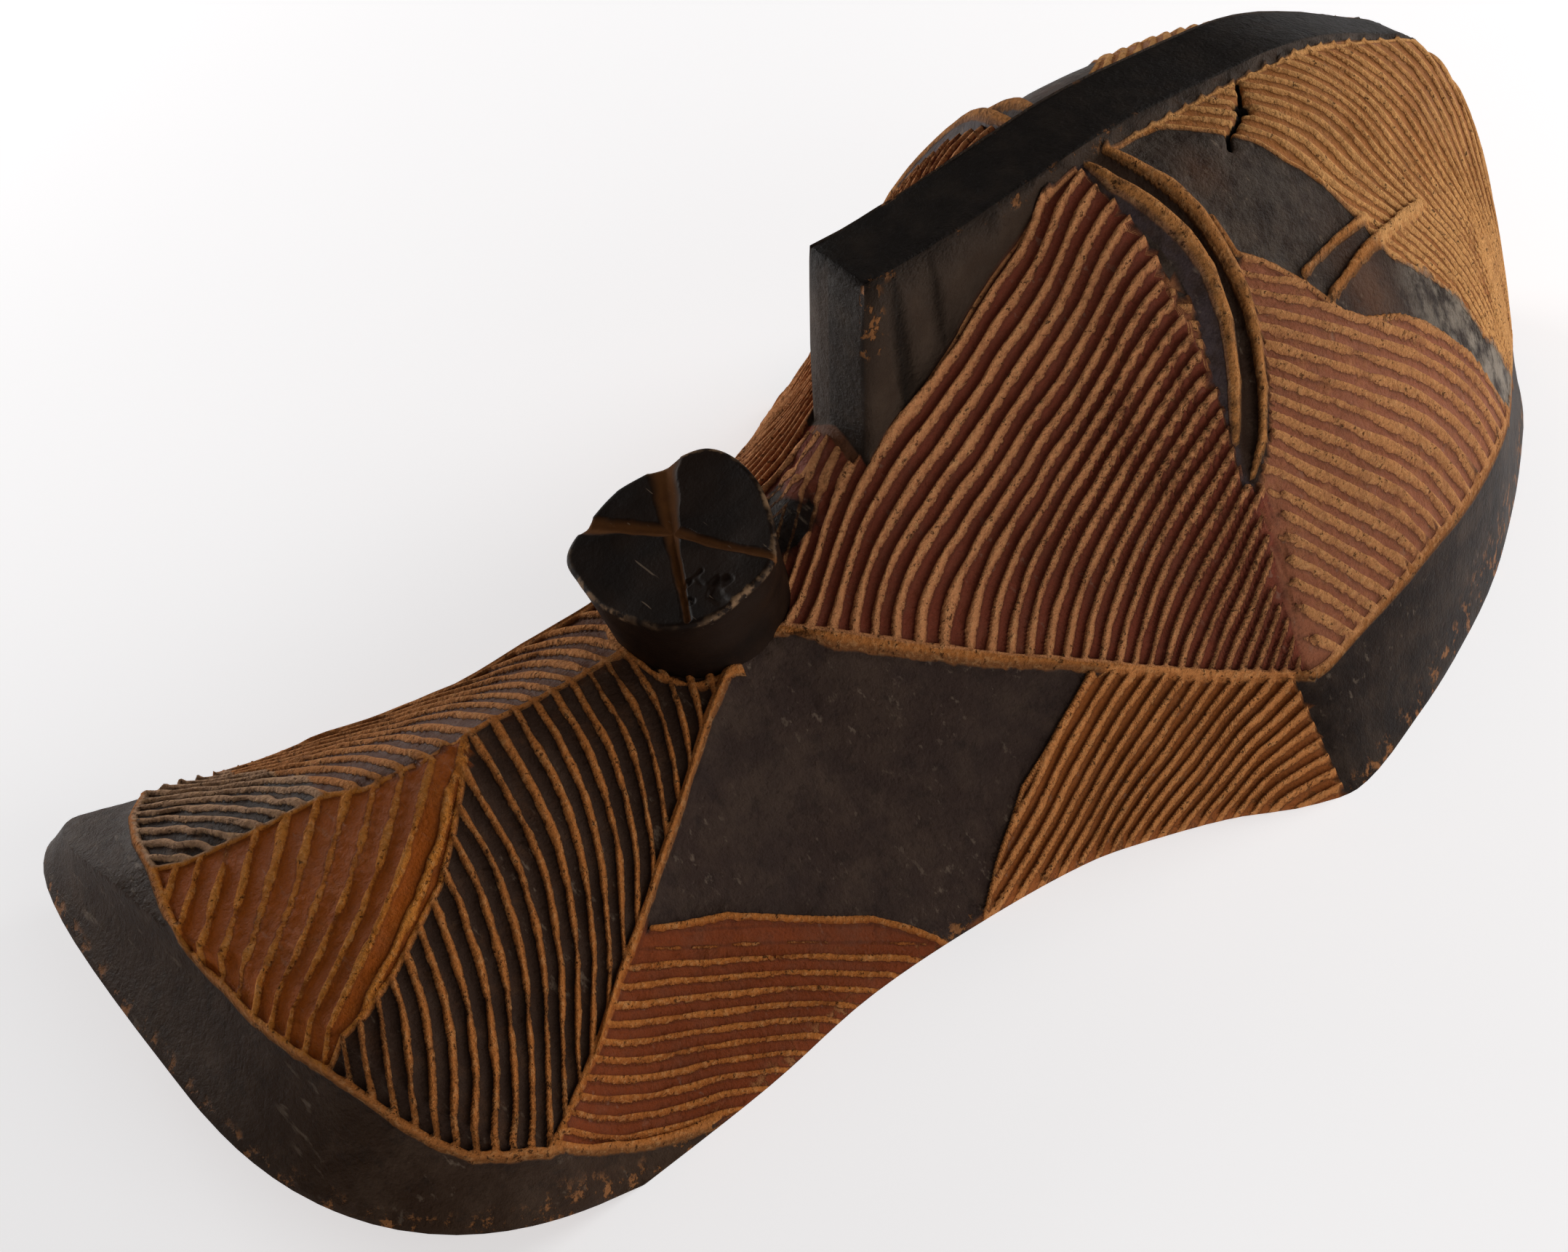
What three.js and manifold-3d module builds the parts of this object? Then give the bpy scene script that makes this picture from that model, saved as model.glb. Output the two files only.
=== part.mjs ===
// A long wooden face mask lying on its back, face up, in millimetres.
// X runs to the mask's own left, Y from the chin to the top of the head, Z out of the face.
// The origin is on the plane that the back edge rests on, at the middle of the mask. The named
// positions below count Y from the bridge under the nose, CENTRE_Y short of that middle.
// The mask is one solid carving: a shell, open at the back, with the crest, the nose, the mouth
// and the eyelids standing out of it.
import * as THREE from 'three';
import * as BufferGeometryUtils from 'three/addons/utils/BufferGeometryUtils.js';
import Module from 'manifold-3d';

const wasm = await Module();
wasm.setup();

// Driving dimensions
const CHIN_Y = -221; // foremost edge of the chin
const HEAD_Y = 231; // top of the head
const CENTRE_Y = (CHIN_Y + HEAD_Y) / 2;
const CHIN_CORNER = { left: 70, right: 22 }; // length over which the chin's edge turns into the jaw
const CHIN_SQUARE = { left: 2.6, right: 3.4 }; // how square each of these corners is
const CHIN_FLARE = 10; // the right chin corner stands out this much further than the left one
const BEND_END = -110; // rows across the mask are straight from here upwards
const BAND_END = -126; // the bevelled band of the chin ends here
const LIFT_START = -150; // the back edge leaves the ground here
const LIFT_SLOPE = 0.37; // and rises by this much for each millimetre towards the chin

const CREST_FOOT = 1.2; // the crest's sides spread by this much down to the face
const NOSE_TIP_Y = -9;
const NOSE_FOOT_Y = -13;
const CREST_END_Y = 206; // the crest sinks into the forehead here

// The mouth is a cup on the midline; its face is tilted towards the chin by this many radians
const MOUTH = { x: 0.6, y: -64.4, z: 92, height: 31.5, tilt: 0.25, dish: 1.2, rounding: 1.4 };
const MOUTH_FOOT = { x: -1, y: -2, radius: 22.3 };
const MOUTH_FLARE = 1.6; // the side widens ever faster from the foot to the rim
const MOUTH_COLUMNS = 36;
const GROOVE_DEPTH = 1.5;
// Two grooves cross on the face: [x, y] from its middle, with the half width at each place
const GROOVES = [
  { line: [[-28, 18.6], [-3.5, 1.3], [22, -14]], half: [4.4, 2.1, 0.9] },
  { line: [[-30, -16.6], [-3.5, 1.3], [30, 14]], half: [2.9, 1.7, 1.1] },
];

const WALL = 12; // thickness of the carving everywhere
const HOLLOW_Y = { chin: -208, head: 220 };

// Guides are [y, value] pairs from the chin to the head, joined by smooth curves.
const HALF_WIDTH = [
  [-221, 82], [-205, 82], [-165, 82], [-151, 82], [-112, 81], [-78, 78], [-43, 80], [-10, 85],
  [9, 92], [26, 100], [42, 110], [57, 115], [87, 109], [111, 102], [140, 91], [168, 76],
  [190, 62], [206, 50], [219, 36], [228, 20.5], [233, 0.6],
];
// Height of the face along the midline, crest and nose left off
const MIDLINE = [
  [-221, 43], [-203, 48.5], [-160, 62], [-129, 71], [-109, 68.5], [-86, 67], [-60, 67],
  [-39, 75], [-13, 91.5], [12, 102], [24, 112], [38, 121.5], [49, 132.5], [58, 137.5], [70, 141],
  [100, 140.5], [129, 138.5], [142, 135.5], [159, 129], [177, 121], [192, 112.5], [206, 97],
  [217, 74], [226, 45], [231, 20], [233, 2],
];
const CREST_TOP = [
  [-12, 141], [5, 141], [40, 143], [74, 145], [115, 142], [128, 140.5], [142, 137],
  [159, 130.5], [177, 122], [192, 113], [206, 96],
];
// The crease that parts the front of the face from its sides: out to the chin corner, in beside
// the mouth, out again under the cheek, and along the top of the head's side wall
const CREASE_X = [
  [-221, 84], [-200, 80], [-180, 79], [-167, 77], [-153, 69], [-143, 63], [-131.5, 55],
  [-122, 50.5], [-109, 42], [-94, 34], [-77.5, 25], [-66, 21], [-54, 22], [-41.5, 30],
  [-27.5, 40], [-12.5, 49.5], [1.5, 60], [16, 70.5], [32, 81], [47.5, 91], [57, 97.5],
  [72, 97.5], [96, 95.5], [120, 91], [140, 84.5], [158, 76], [175, 64], [192, 51],
  [206, 38], [219, 24], [228, 12], [233, 0.3],
];
const CREASE_Z = [
  [-221, 33], [-200, 30], [-180, 27], [-167, 24], [-153, 27], [-143, 30], [-131.5, 34],
  [-122, 36.5], [-109, 42], [-94, 50], [-77.5, 59], [-66, 65], [-54, 66], [-41.5, 63],
  [-27.5, 56.5], [-12.5, 50.5], [1.5, 44], [16, 38.5], [32, 33], [47.5, 28], [57, 28],
  [72, 32], [96, 37], [120, 39.5], [144, 40], [175, 38], [206, 31], [226, 14], [233, 0.5],
];
// How the front falls from midline to crease: 1 is a straight slope, more keeps it full
const FULLNESS = [
  [-221, 1.3], [-131, 1.1], [-80, 1.15], [-20, 1.2], [20, 1.35], [56, 1.95], [75, 1.95],
  [95, 2.05], [140, 2.0], [175, 2.25], [200, 2.35], [219, 2.3], [233, 1.2],
];
// Half width of the flat middle of the face: the triangle on the chin
const FLAT = [[-221, 46], [-198, 38], [-165, 19.5], [-131, 0.5], [-124, 0.5], [233, 0]];
// The cheek swells up beside the nose: rise of the face there, and how it dies away to the crease
const FILLET = [
  [-39, 0], [-25, 1], [-13, 4], [-2, 9], [6, 12], [13, 13.5], [23, 13.5], [33, 12.5], [43, 9.5],
  [54, 5.5], [62, 2.5], [72, 0],
];
const FILLET_X = 11.6;
const FILLET_POWER = 2.15;
// Radius of the mouth's rim by angle in degrees: its outline has four soft lobes
const MOUTH_OUTLINE = [
  [-180, 24.6], [-158, 24.7], [-134, 27.6], [-115, 25.4], [-90, 24.4], [-66, 24], [-43, 25.8],
  [-20, 27], [0, 26.2], [20, 27], [48, 24.4], [65, 23.8], [89, 25], [122, 27.6], [144, 24.7],
  [162, 24], [180, 24.6],
];
// Rise of the bevelled band along the chin's edge; it steepens until it is the jaw's side
const BAND = [[-221, 1.15], [-203, 1.3], [-185, 1.6], [-172, 2.6], [-160, 4], [-140, 7]];
// Half width of the crest and nose
const CREST_HALF = [[-12, 10.5], [130, 10.5], [159, 8.5], [177, 6.6], [192, 5], [206, 3.6]];

// Eyelid ridges on the mask's left half, from the crest outwards: [x, y]
const LOWER_LID = {
  line: [
    [12, 59.5], [21, 60.8], [29.5, 64.2], [38, 67.3], [45, 68.2], [53, 66], [60.5, 61.6],
    [66.8, 56.5],
  ],
  radius: 3.3,
};
const UPPER_LID = {
  line: [
    [8.5, 65.6], [18.5, 70.4], [26.8, 74.4], [34.8, 76.3], [44.6, 76.4], [50.5, 76], [57, 73.5],
    [63.8, 69.2], [69.5, 63.6], [71.9, 57.6],
  ],
  radius: 2.4,
};
const LID_SINK = 0.4;
const LID_STEPS = 16;
const LID_SIDES = 8;

const ROWS = 58;
const HOLLOW_ROWS = 30;

// Smooth curve through [y, value] pairs: cubic pieces whose end slopes come from the neighbours
function guide(pairs, y) {
  const last = pairs.length - 1;
  if (y <= pairs[0][0]) return pairs[0][1];
  if (y >= pairs[last][0]) return pairs[last][1];
  let i = 0;
  while (y > pairs[i + 1][0]) i += 1;
  const slope = (k) => {
    const a = pairs[Math.max(k - 1, 0)];
    const b = pairs[Math.min(k + 1, last)];
    return (b[1] - a[1]) / (b[0] - a[0]);
  };
  const span = pairs[i + 1][0] - pairs[i][0];
  const t = (y - pairs[i][0]) / span;
  const rise = t * t * (3 - 2 * t);
  return pairs[i][1] * (1 - rise) + pairs[i + 1][1] * rise
    + span * (slope(i) * t * (1 - t) ** 2 - slope(i + 1) * t * t * (1 - t));
}

const sideOf = (x) => (x < 0 ? 'right' : 'left');

// Half width of the outline; the right half swells towards its squarer chin corner
function halfWidth(y, side) {
  const flare = side === 'right' ? CHIN_FLARE * THREE.MathUtils.smoothstep(-y, 165, 205) : 0;
  return guide(HALF_WIDTH, y) + flare;
}

// A row across the mask bends towards the chin: y at a fraction of the way out to the outline
function bend(y, reach, side) {
  if (y >= BEND_END) return y;
  const end = (BEND_END - y) / (BEND_END - CHIN_Y) * CHIN_CORNER[side];
  const power = CHIN_SQUARE[side];
  return y + end * (1 - (1 - Math.min(reach, 1) ** power) ** (1 / power));
}

const backEdge = (y) => LIFT_SLOPE * Math.max(0, LIFT_START - y);

// Distance in from the outline around the chin's end, whose corners are superellipses
function fromChinEdge(x, y, side, width) {
  const power = CHIN_SQUARE[side];
  const u = Math.abs(x) / width;
  const v = Math.max(0, 1 - (y - CHIN_Y) / CHIN_CORNER[side]);
  const s = Math.max((u ** power + v ** power) ** (1 / power), 1e-6);
  const steep = s ** (1 - power)
    * Math.hypot(u ** (power - 1) / width, v ** (power - 1) / CHIN_CORNER[side]);
  return Math.max(0, 1 - s) / Math.max(steep, 1e-6);
}

// Height of the carved face without the crest: front, sides and the bevelled band of the chin
function faceHeight(x, y) {
  const side = sideOf(x);
  const far = Math.abs(x);
  const width = Math.max(halfWidth(y, side), 0.5);
  const crease = Math.min(guide(CREASE_X, y) * width / guide(HALF_WIDTH, y), width * 0.985);
  const low = backEdge(y);
  const creaseZ = Math.max(guide(CREASE_Z, y), low + 0.5);
  const mid = guide(MIDLINE, y);
  const flat = guide(FLAT, y);
  let z;
  if (far <= crease) {
    const out = Math.max(0, (far - flat) / (crease - flat));
    z = mid + (creaseZ - mid) * out ** guide(FULLNESS, y);
    const span = Math.max(crease - FILLET_X, 1);
    const rest = THREE.MathUtils.clamp((crease - Math.max(far, FILLET_X)) / span, 0, 1);
    z += guide(FILLET, y) * rest ** FILLET_POWER;
  } else {
    const out = Math.min((far - crease) / (width - crease), 1);
    z = creaseZ + (low - creaseZ) * out;
  }
  if (y > BAND_END) return z;
  return Math.min(z, low + guide(BAND, y) * fromChinEdge(x, y, side, width));
}

function outerHeight(x, y) {
  const inLength = y >= NOSE_TIP_Y - 0.01 && y <= CREST_END_Y;
  const onCrest = inLength && Math.abs(x) <= guide(CREST_HALF, y) + 0.01;
  const face = faceHeight(x, y);
  return onCrest ? Math.max(guide(CREST_TOP, y), face) : face;
}

// Height of the hollow: a ball as wide as the wall is thick, rolled along under the face
function hollowHeight(x, y) {
  let z = faceHeight(x, y) - WALL;
  for (const reach of [0.5, 0.8, 1]) {
    const drop = WALL * Math.sqrt(1 - reach * reach);
    for (let k = 0; k < 12; k += 1) {
      const a = Math.PI * k / 6;
      const px = x + WALL * reach * Math.cos(a);
      const py = y + WALL * reach * Math.sin(a);
      z = Math.min(z, faceHeight(px, THREE.MathUtils.clamp(py, CHIN_Y, HEAD_Y)) - drop);
    }
  }
  return Math.max(z, backEdge(y) - 5);
}

// Closed solid between two heights over a grid of rows, each row an array of [x, y] from right to
// left. The first and last rows may be short in width but keep their own points.
function solidBetween(rows, top, bottom) {
  const across = rows[0].length;
  const position = [];
  for (const height of [top, bottom]) {
    for (const row of rows) for (const [x, y] of row) position.push(x, y, height(x, y));
  }
  const at = (layer, i, j) => (layer * rows.length + i) * across + j;
  const index = [];
  const quad = (a, b, c, d) => index.push(a, b, c, a, c, d);
  for (let i = 0; i + 1 < rows.length; i += 1) {
    for (let j = 0; j + 1 < across; j += 1) {
      quad(at(0, i, j), at(0, i, j + 1), at(0, i + 1, j + 1), at(0, i + 1, j));
      quad(at(1, i, j), at(1, i + 1, j), at(1, i + 1, j + 1), at(1, i, j + 1));
    }
    quad(at(0, i, 0), at(0, i + 1, 0), at(1, i + 1, 0), at(1, i, 0));
    const last = across - 1;
    quad(at(0, i, last), at(1, i, last), at(1, i + 1, last), at(0, i + 1, last));
  }
  const end = rows.length - 1;
  for (let j = 0; j + 1 < across; j += 1) {
    quad(at(0, 0, j), at(1, 0, j), at(1, 0, j + 1), at(0, 0, j + 1));
    quad(at(0, end, j), at(0, end, j + 1), at(1, end, j + 1), at(1, end, j));
  }
  const geometry = new THREE.BufferGeometry();
  geometry.setAttribute('position', new THREE.Float32BufferAttribute(position, 3));
  geometry.setIndex(index);
  return toSolid(geometry);
}

function toSolid(geometry) {
  geometry.deleteAttribute('normal');
  geometry.deleteAttribute('uv');
  const merged = BufferGeometryUtils.mergeVertices(geometry, 1e-4);
  return new wasm.Manifold(new wasm.Mesh({
    numProp: 3,
    vertProperties: new Float32Array(merged.attributes.position.array),
    triVerts: new Uint32Array(merged.index.array),
  }));
}

function toGeometry(solid) {
  const mesh = solid.getMesh();
  const geometry = new THREE.BufferGeometry();
  const position = new Float32Array(mesh.vertProperties);
  geometry.setAttribute('position', new THREE.BufferAttribute(position, 3));
  geometry.setIndex(new THREE.BufferAttribute(new Uint32Array(mesh.triVerts), 1));
  return geometry;
}

// Even steps from one y to another, with the fixed stations put in place of the nearest step
function stations(from, to, count, fixed) {
  const list = [];
  for (let i = 0; i <= count; i += 1) {
    const t = i / count;
    list.push(from + (to - from) * (t - 0.05 * Math.sin(2 * Math.PI * t)));
  }
  for (const y of fixed) {
    const nearest = list.reduce((a, b) => (Math.abs(b - y) < Math.abs(a - y) ? b : a));
    list[list.indexOf(nearest)] = y;
  }
  return list.sort((a, b) => a - b);
}

// One row of the outer grid. Its columns follow the crest's edges and the crease.
function outerRow(y) {
  const half = (side) => {
    const end = bend(y, 1, side);
    const width = halfWidth(end, side);
    const rowY = (x) => bend(y, x / width, side);
    const top = guide(CREST_HALF, y);
    const crest = [top * 0.5, top, top + CREST_FOOT].map((x) => x * Math.min(1, width / 36));
    let crease = guide(CREASE_X, y);
    for (let k = 0; k < 6; k += 1) {
      const at = rowY(Math.min(crease, width * 0.98));
      crease = guide(CREASE_X, at) * halfWidth(at, side) / guide(HALF_WIDTH, at);
    }
    crease = Math.max(Math.min(crease, width * 0.98), crest[2] * 1.2);
    const columns = [...crest];
    const front = 11;
    const flank = 5;
    for (let k = 1; k <= front; k += 1) columns.push(crest[2] + (crease - crest[2]) * k / front);
    for (let k = 1; k <= flank; k += 1) columns.push(crease + (width - crease) * k / flank);
    return columns.map((x) => [side === 'right' ? -x : x, rowY(x)]);
  };
  return [...half('right').reverse(), [0, y], ...half('left')];
}

function hollowRow(y) {
  const half = (side) => {
    const inner = (at) => {
      const squeeze = Math.min(1, (at - HOLLOW_Y.chin + 2) / 26, (HOLLOW_Y.head - at + 2) / 20);
      return Math.max((halfWidth(at, side) - WALL) * Math.sqrt(1 - (1 - squeeze) ** 2), 1);
    };
    const width = inner(y);
    const columns = [0.2, 0.4, 0.58, 0.73, 0.85, 0.94, 1].map((u) => u * width);
    return columns.map((x) => [side === 'right' ? -x : x, y]);
  };
  return [...half('right').reverse(), [0, y], ...half('left')];
}

function makeShell() {
  const fixed = [NOSE_FOOT_Y, NOSE_TIP_Y, 227, HEAD_Y];
  const outerRows = stations(CHIN_Y, HEAD_Y, ROWS, fixed).map(outerRow);
  const top = (x, y) => Math.max(outerHeight(x, y), backEdge(y) + 0.4);
  const outer = solidBetween(outerRows, top, (x, y) => backEdge(y));
  const hollowRows = stations(HOLLOW_Y.chin + 0.5, HOLLOW_Y.head - 0.5, HOLLOW_ROWS, []).map(hollowRow);
  const below = 30;
  const hollow = solidBetween(hollowRows, hollowHeight, (x, y) => backEdge(y) - below);
  return outer.subtract(hollow);
}

// Closed solid through rings of points, all of one length, that run anticlockwise seen from the
// last ring; both end rings are closed by a fan
function solidThroughRings(rings) {
  const around = rings[0].length;
  const position = rings.flat().flatMap((p) => [p.x, p.y, p.z]);
  const index = [];
  for (let i = 0; i + 1 < rings.length; i += 1) {
    for (let k = 0; k < around; k += 1) {
      const a = i * around + k;
      const b = i * around + (k + 1) % around;
      index.push(a, b, b + around, a, b + around, a + around);
    }
  }
  const last = (rings.length - 1) * around;
  for (let k = 1; k + 1 < around; k += 1) {
    index.push(0, k + 1, k, last, last + k, last + k + 1);
  }
  const geometry = new THREE.BufferGeometry();
  geometry.setAttribute('position', new THREE.Float32BufferAttribute(position, 3));
  geometry.setIndex(index);
  return toSolid(geometry);
}

// A groove as a solid to cut away: its plan widened to both sides of its line, deep enough to
// leave the dished face everywhere
function makeGroove({ line, half }) {
  const sideOfLine = (sign) => line.map(([x, y], k) => {
    const before = line[Math.max(k - 1, 0)];
    const after = line[Math.min(k + 1, line.length - 1)];
    const along = new THREE.Vector2(after[0] - before[0], after[1] - before[1]).normalize();
    return new THREE.Vector2(x - sign * along.y * half[k], y + sign * along.x * half[k]);
  });
  const plan = new THREE.Shape([...sideOfLine(-1), ...sideOfLine(1).reverse()]);
  const cut = new THREE.ExtrudeGeometry(plan, { depth: MOUTH.height, bevelEnabled: false });
  cut.translate(0, 0, -MOUTH.dish - GROOVE_DEPTH);
  return toSolid(cut);
}

// The mouth: a short cup with a lobed rim and a dished face, on which two grooves cross
function makeMouth() {
  const ring = (share, rimShare, centre, z) => {
    const points = [];
    for (let k = 0; k < MOUTH_COLUMNS; k += 1) {
      const angle = 2 * Math.PI * k / MOUTH_COLUMNS - Math.PI;
      const rim = guide(MOUTH_OUTLINE, THREE.MathUtils.radToDeg(angle));
      const radius = share * (MOUTH_FOOT.radius * (1 - rimShare) + rim * rimShare);
      points.push(new THREE.Vector3(
        centre * MOUTH_FOOT.x + radius * Math.cos(angle),
        centre * MOUTH_FOOT.y + radius * Math.sin(angle),
        z,
      ));
    }
    return points;
  };
  const side = [0, 0.3, 0.6, 0.8, 1].map((t) => (
    ring(1, t ** MOUTH_FLARE, 1 - t, t * (MOUTH.height - MOUTH.rounding) - MOUTH.height)));
  const face = [0.95, 0.6, 0.2].map((share) => (
    ring(share, 1, 0, -MOUTH.dish * (1 - share ** 2))));
  let cup = solidThroughRings([...side, ...face]);
  for (const groove of GROOVES) cup = cup.subtract(makeGroove(groove));
  const placed = toGeometry(cup);
  placed.rotateX(MOUTH.tilt);
  placed.translate(MOUTH.x, MOUTH.y, MOUTH.z);
  return toSolid(placed);
}

// A lid is a ridge of crescent shape: rings along a smooth curve, thin at both ends
function makeLid({ line, radius }, side) {
  const sign = side === 'right' ? -1 : 1;
  const curve = new THREE.CatmullRomCurve3(line.map(([x, y]) => new THREE.Vector3(
    sign * x,
    y,
    faceHeight(sign * x, y) - LID_SINK,
  )));
  const rings = [];
  for (let i = 0; i <= LID_STEPS; i += 1) {
    const t = i / LID_STEPS;
    const middle = curve.getPoint(t);
    const along = curve.getTangent(t);
    const across = new THREE.Vector3(0, 0, 1).cross(along).normalize();
    const up = along.clone().cross(across).normalize();
    const size = radius * (0.35 + 0.65 * Math.sin(Math.PI * t) ** 0.6);
    const points = [];
    for (let k = 0; k < LID_SIDES; k += 1) {
      const angle = 2 * Math.PI * k / LID_SIDES;
      const out = across.clone().multiplyScalar(size * Math.cos(angle));
      points.push(out.addScaledVector(up, size * Math.sin(angle)).add(middle));
    }
    rings.push(points);
  }
  return solidThroughRings(rings);
}

function makeMask() {
  let mask = makeShell().add(makeMouth());
  for (const side of ['left', 'right']) {
    for (const lid of [LOWER_LID, UPPER_LID]) mask = mask.add(makeLid(lid, side));
  }
  return mask.translate([0, -CENTRE_Y, 0]);
}

const wood = new THREE.MeshStandardMaterial({ color: 0x6b3f22, roughness: 0.75, metalness: 0 });
const mask = new THREE.Mesh(toGeometry(makeMask()), wood);
mask.name = 'mask';

const group = new THREE.Group();
group.add(mask);
export default group;
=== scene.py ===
"""A long carved wooden mask lying on its back: its fine surface, its colours, the light and the view."""

import bpy
import numpy as np
from mathutils import Matrix


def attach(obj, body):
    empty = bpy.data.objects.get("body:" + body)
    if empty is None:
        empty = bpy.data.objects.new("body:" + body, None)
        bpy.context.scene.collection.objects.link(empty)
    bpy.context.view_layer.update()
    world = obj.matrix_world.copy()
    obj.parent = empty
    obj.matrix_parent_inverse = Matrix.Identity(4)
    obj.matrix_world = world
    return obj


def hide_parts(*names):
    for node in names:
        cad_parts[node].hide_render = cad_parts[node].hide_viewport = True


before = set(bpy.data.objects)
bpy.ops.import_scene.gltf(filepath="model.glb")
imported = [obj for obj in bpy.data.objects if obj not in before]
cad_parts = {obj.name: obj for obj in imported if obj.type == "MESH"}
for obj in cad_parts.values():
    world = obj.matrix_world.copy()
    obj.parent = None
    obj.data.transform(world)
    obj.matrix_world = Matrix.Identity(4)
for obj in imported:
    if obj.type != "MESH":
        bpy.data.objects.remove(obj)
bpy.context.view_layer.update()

MM = 0.001
CENTRE_Y = 5.0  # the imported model's y is this much less than y here, in millimetres

CHIN_Y = -221.0
HEAD_Y = 231.0
BEND_END = -110.0  # below this y the rows across the mask bend round the chin's corners
BAND_END = -126.0  # the black band round the chin's end reaches up to here
CHIN_CORNER = (70.0, 22.0)  # length of the left and of the right corner
CHIN_SQUARE = (2.6, 3.4)  # power of the left and of the right corner's superellipse
CHIN_FLARE = 10.0  # how much wider the right corner is
LIFT_START, LIFT_SLOPE = -150.0, 0.37  # the chin's back edge rises from here to the end
CREST_FOOT, CREST_END_Y, CREST_END_RUN, CREST_ROUND = 1.2, 206.0, 6.0, 1.3
NOSE_TIP_Y, NOSE_FOOT_Y = -9.0, -13.0
NOSE_SHAVE = 3.5  # cut off the right side of the nose near its end
NOSE_BEVEL, NOSE_CORNER = 0.12, 2.5  # the end's right part, beyond the corner, slants back
BRIDGE_HALF = 8.5  # half width of the plain strip under the nose
WALL = 12.0
SPINE_SHARE, SPINE_START, SPINE_END = 0.82, -168, 150  # the line on which the hollow's rings close
OUTSIDE = -60.0  # height that stands for no wood
SLOPE_REACH, STEEPEST = 0.6, 2.5
NO_RIDGE = 1.15  # above the top of the wave

ROWS, FRONT_COLUMNS, FLANK_COLUMNS = 760, 130, 84
BODY_TRIANGLES = 190000

# Guides: (y, value) pairs from the chin to the head, joined by smooth curves
HALF_WIDTH = [
    (-221, 82), (-205, 82), (-165, 82), (-151, 82), (-112, 81), (-78, 78), (-43, 80), (-10, 85),
    (9, 92), (26, 100), (42, 110), (57, 115), (87, 109), (111, 102), (140, 91), (168, 76),
    (190, 62), (206, 50), (219, 36), (228, 20.5), (233, 0.6)]
MIDLINE = [
    (-221, 43), (-203, 48.5), (-160, 62), (-129, 71), (-109, 68.5), (-86, 67), (-60, 67),
    (-39, 75), (-13, 91.5), (12, 102), (24, 112), (38, 121.5), (49, 132.5), (58, 137.5),
    (70, 141), (100, 140.5), (129, 138.5), (142, 135.5), (159, 129), (177, 121), (192, 112.5),
    (206, 97), (217, 74), (226, 45), (231, 20), (233, 2)]
CREST_TOP = [
    (-12, 141), (5, 141), (40, 143), (74, 145), (115, 142), (128, 140.5), (142, 137),
    (159, 130.5), (177, 122), (192, 113), (206, 96)]
CREST_HALF = [(-12, 10.5), (130, 10.5), (159, 8.5), (177, 6.6), (192, 5), (206, 3.6)]
CREASE_X = [
    (-221, 84), (-200, 80), (-180, 79), (-167, 77), (-153, 69), (-143, 63), (-131.5, 55),
    (-122, 50.5), (-109, 42), (-94, 34), (-77.5, 25), (-66, 21), (-54, 22), (-41.5, 30),
    (-27.5, 40), (-12.5, 49.5), (1.5, 60), (16, 70.5), (32, 81), (47.5, 91), (57, 97.5),
    (72, 97.5), (96, 95.5), (120, 91), (140, 84.5), (158, 76), (175, 64), (192, 51),
    (206, 38), (219, 24), (228, 12), (233, 0.3)]
CREASE_Z = [
    (-221, 33), (-200, 30), (-180, 27), (-167, 24), (-153, 27), (-143, 30), (-131.5, 34),
    (-122, 36.5), (-109, 42), (-94, 50), (-77.5, 59), (-66, 65), (-54, 66), (-41.5, 63),
    (-27.5, 56.5), (-12.5, 50.5), (1.5, 44), (16, 38.5), (32, 33), (47.5, 28), (57, 28),
    (72, 32), (96, 37), (120, 39.5), (144, 40), (175, 38), (206, 31), (226, 14), (233, 0.5)]
FULLNESS = [
    (-221, 1.3), (-131, 1.1), (-80, 1.15), (-20, 1.2), (20, 1.35), (56, 1.95), (75, 1.95),
    (95, 2.05), (140, 2.0), (175, 2.25), (200, 2.35), (219, 2.3), (233, 1.2)]
FLAT = [(-221, 46), (-198, 38), (-165, 19.5), (-131, 0.5), (-124, 0.5), (233, 0)]
FILLET_X, FILLET_POWER = 11.6, 2.15
FILLET = [
    (-39, 0), (-25, 1), (-13, 4), (-2, 9), (6, 12), (13, 13.5), (23, 13.5), (33, 12.5), (43, 9.5),
    (54, 5.5), (62, 2.5), (72, 0)]
BAND = [(-221, 1.15), (-203, 1.3), (-185, 1.6), (-172, 2.6), (-160, 4), (-140, 7)]

# Lines on the carving in plan: (x, y) pairs with x counted out from the middle, for both halves
# unless the name says left or right. The right half is where x is below 0
LOWER_LID = [
    (12, 59.8), (21, 61.5), (29.5, 65), (38, 68.2), (45, 69.1), (53, 66.9), (60.5, 62.4), (66.8, 56.8)]
UPPER_LID = [
    (8.5, 65.6), (18.5, 70.4), (26.8, 74.4), (34.8, 76.3), (44.6, 76.4), (50.5, 76), (57, 73.5),
    (63.8, 69.2), (69.5, 63.6), (71.9, 57.6)]
LID_FOOT = [
    (10.5, 57.5), (18.5, 58.1), (26.7, 59.7), (36, 62.4), (40.5, 62.6), (46, 62.1), (51.5, 60.1),
    (58.8, 57.9), (65.6, 56.3), (72, 55)]
BROW_TOP = [
    (11.5, 70), (12.6, 84), (17, 90.5), (22, 97.5), (27.5, 104.5), (33.5, 108), (39.5, 114), (46.5, 118.5),
    (56, 125.4), (60.2, 137.7), (63.6, 147.1), (67.3, 153.7), (68, 165), (64, 177)]
BROW_FOOT = [
    (36, 79.5), (43.8, 80), (47.9, 86), (55.1, 94.4), (60.9, 100.6), (63.5, 107.7), (64.7, 118),
    (66.6, 127.9), (69.6, 137.5), (75.1, 153), (76, 159)]
BROW_BARS = (
    [(49, 121.5), (51, 107), (53, 95)], [(49, 144), (51, 133), (54.2, 116), (58.2, 100.3)])
TEMPLE_FOOT = [(72, 58), (76, 60), (81, 57), (86, 55), (97.5, 55.5)]
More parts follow.
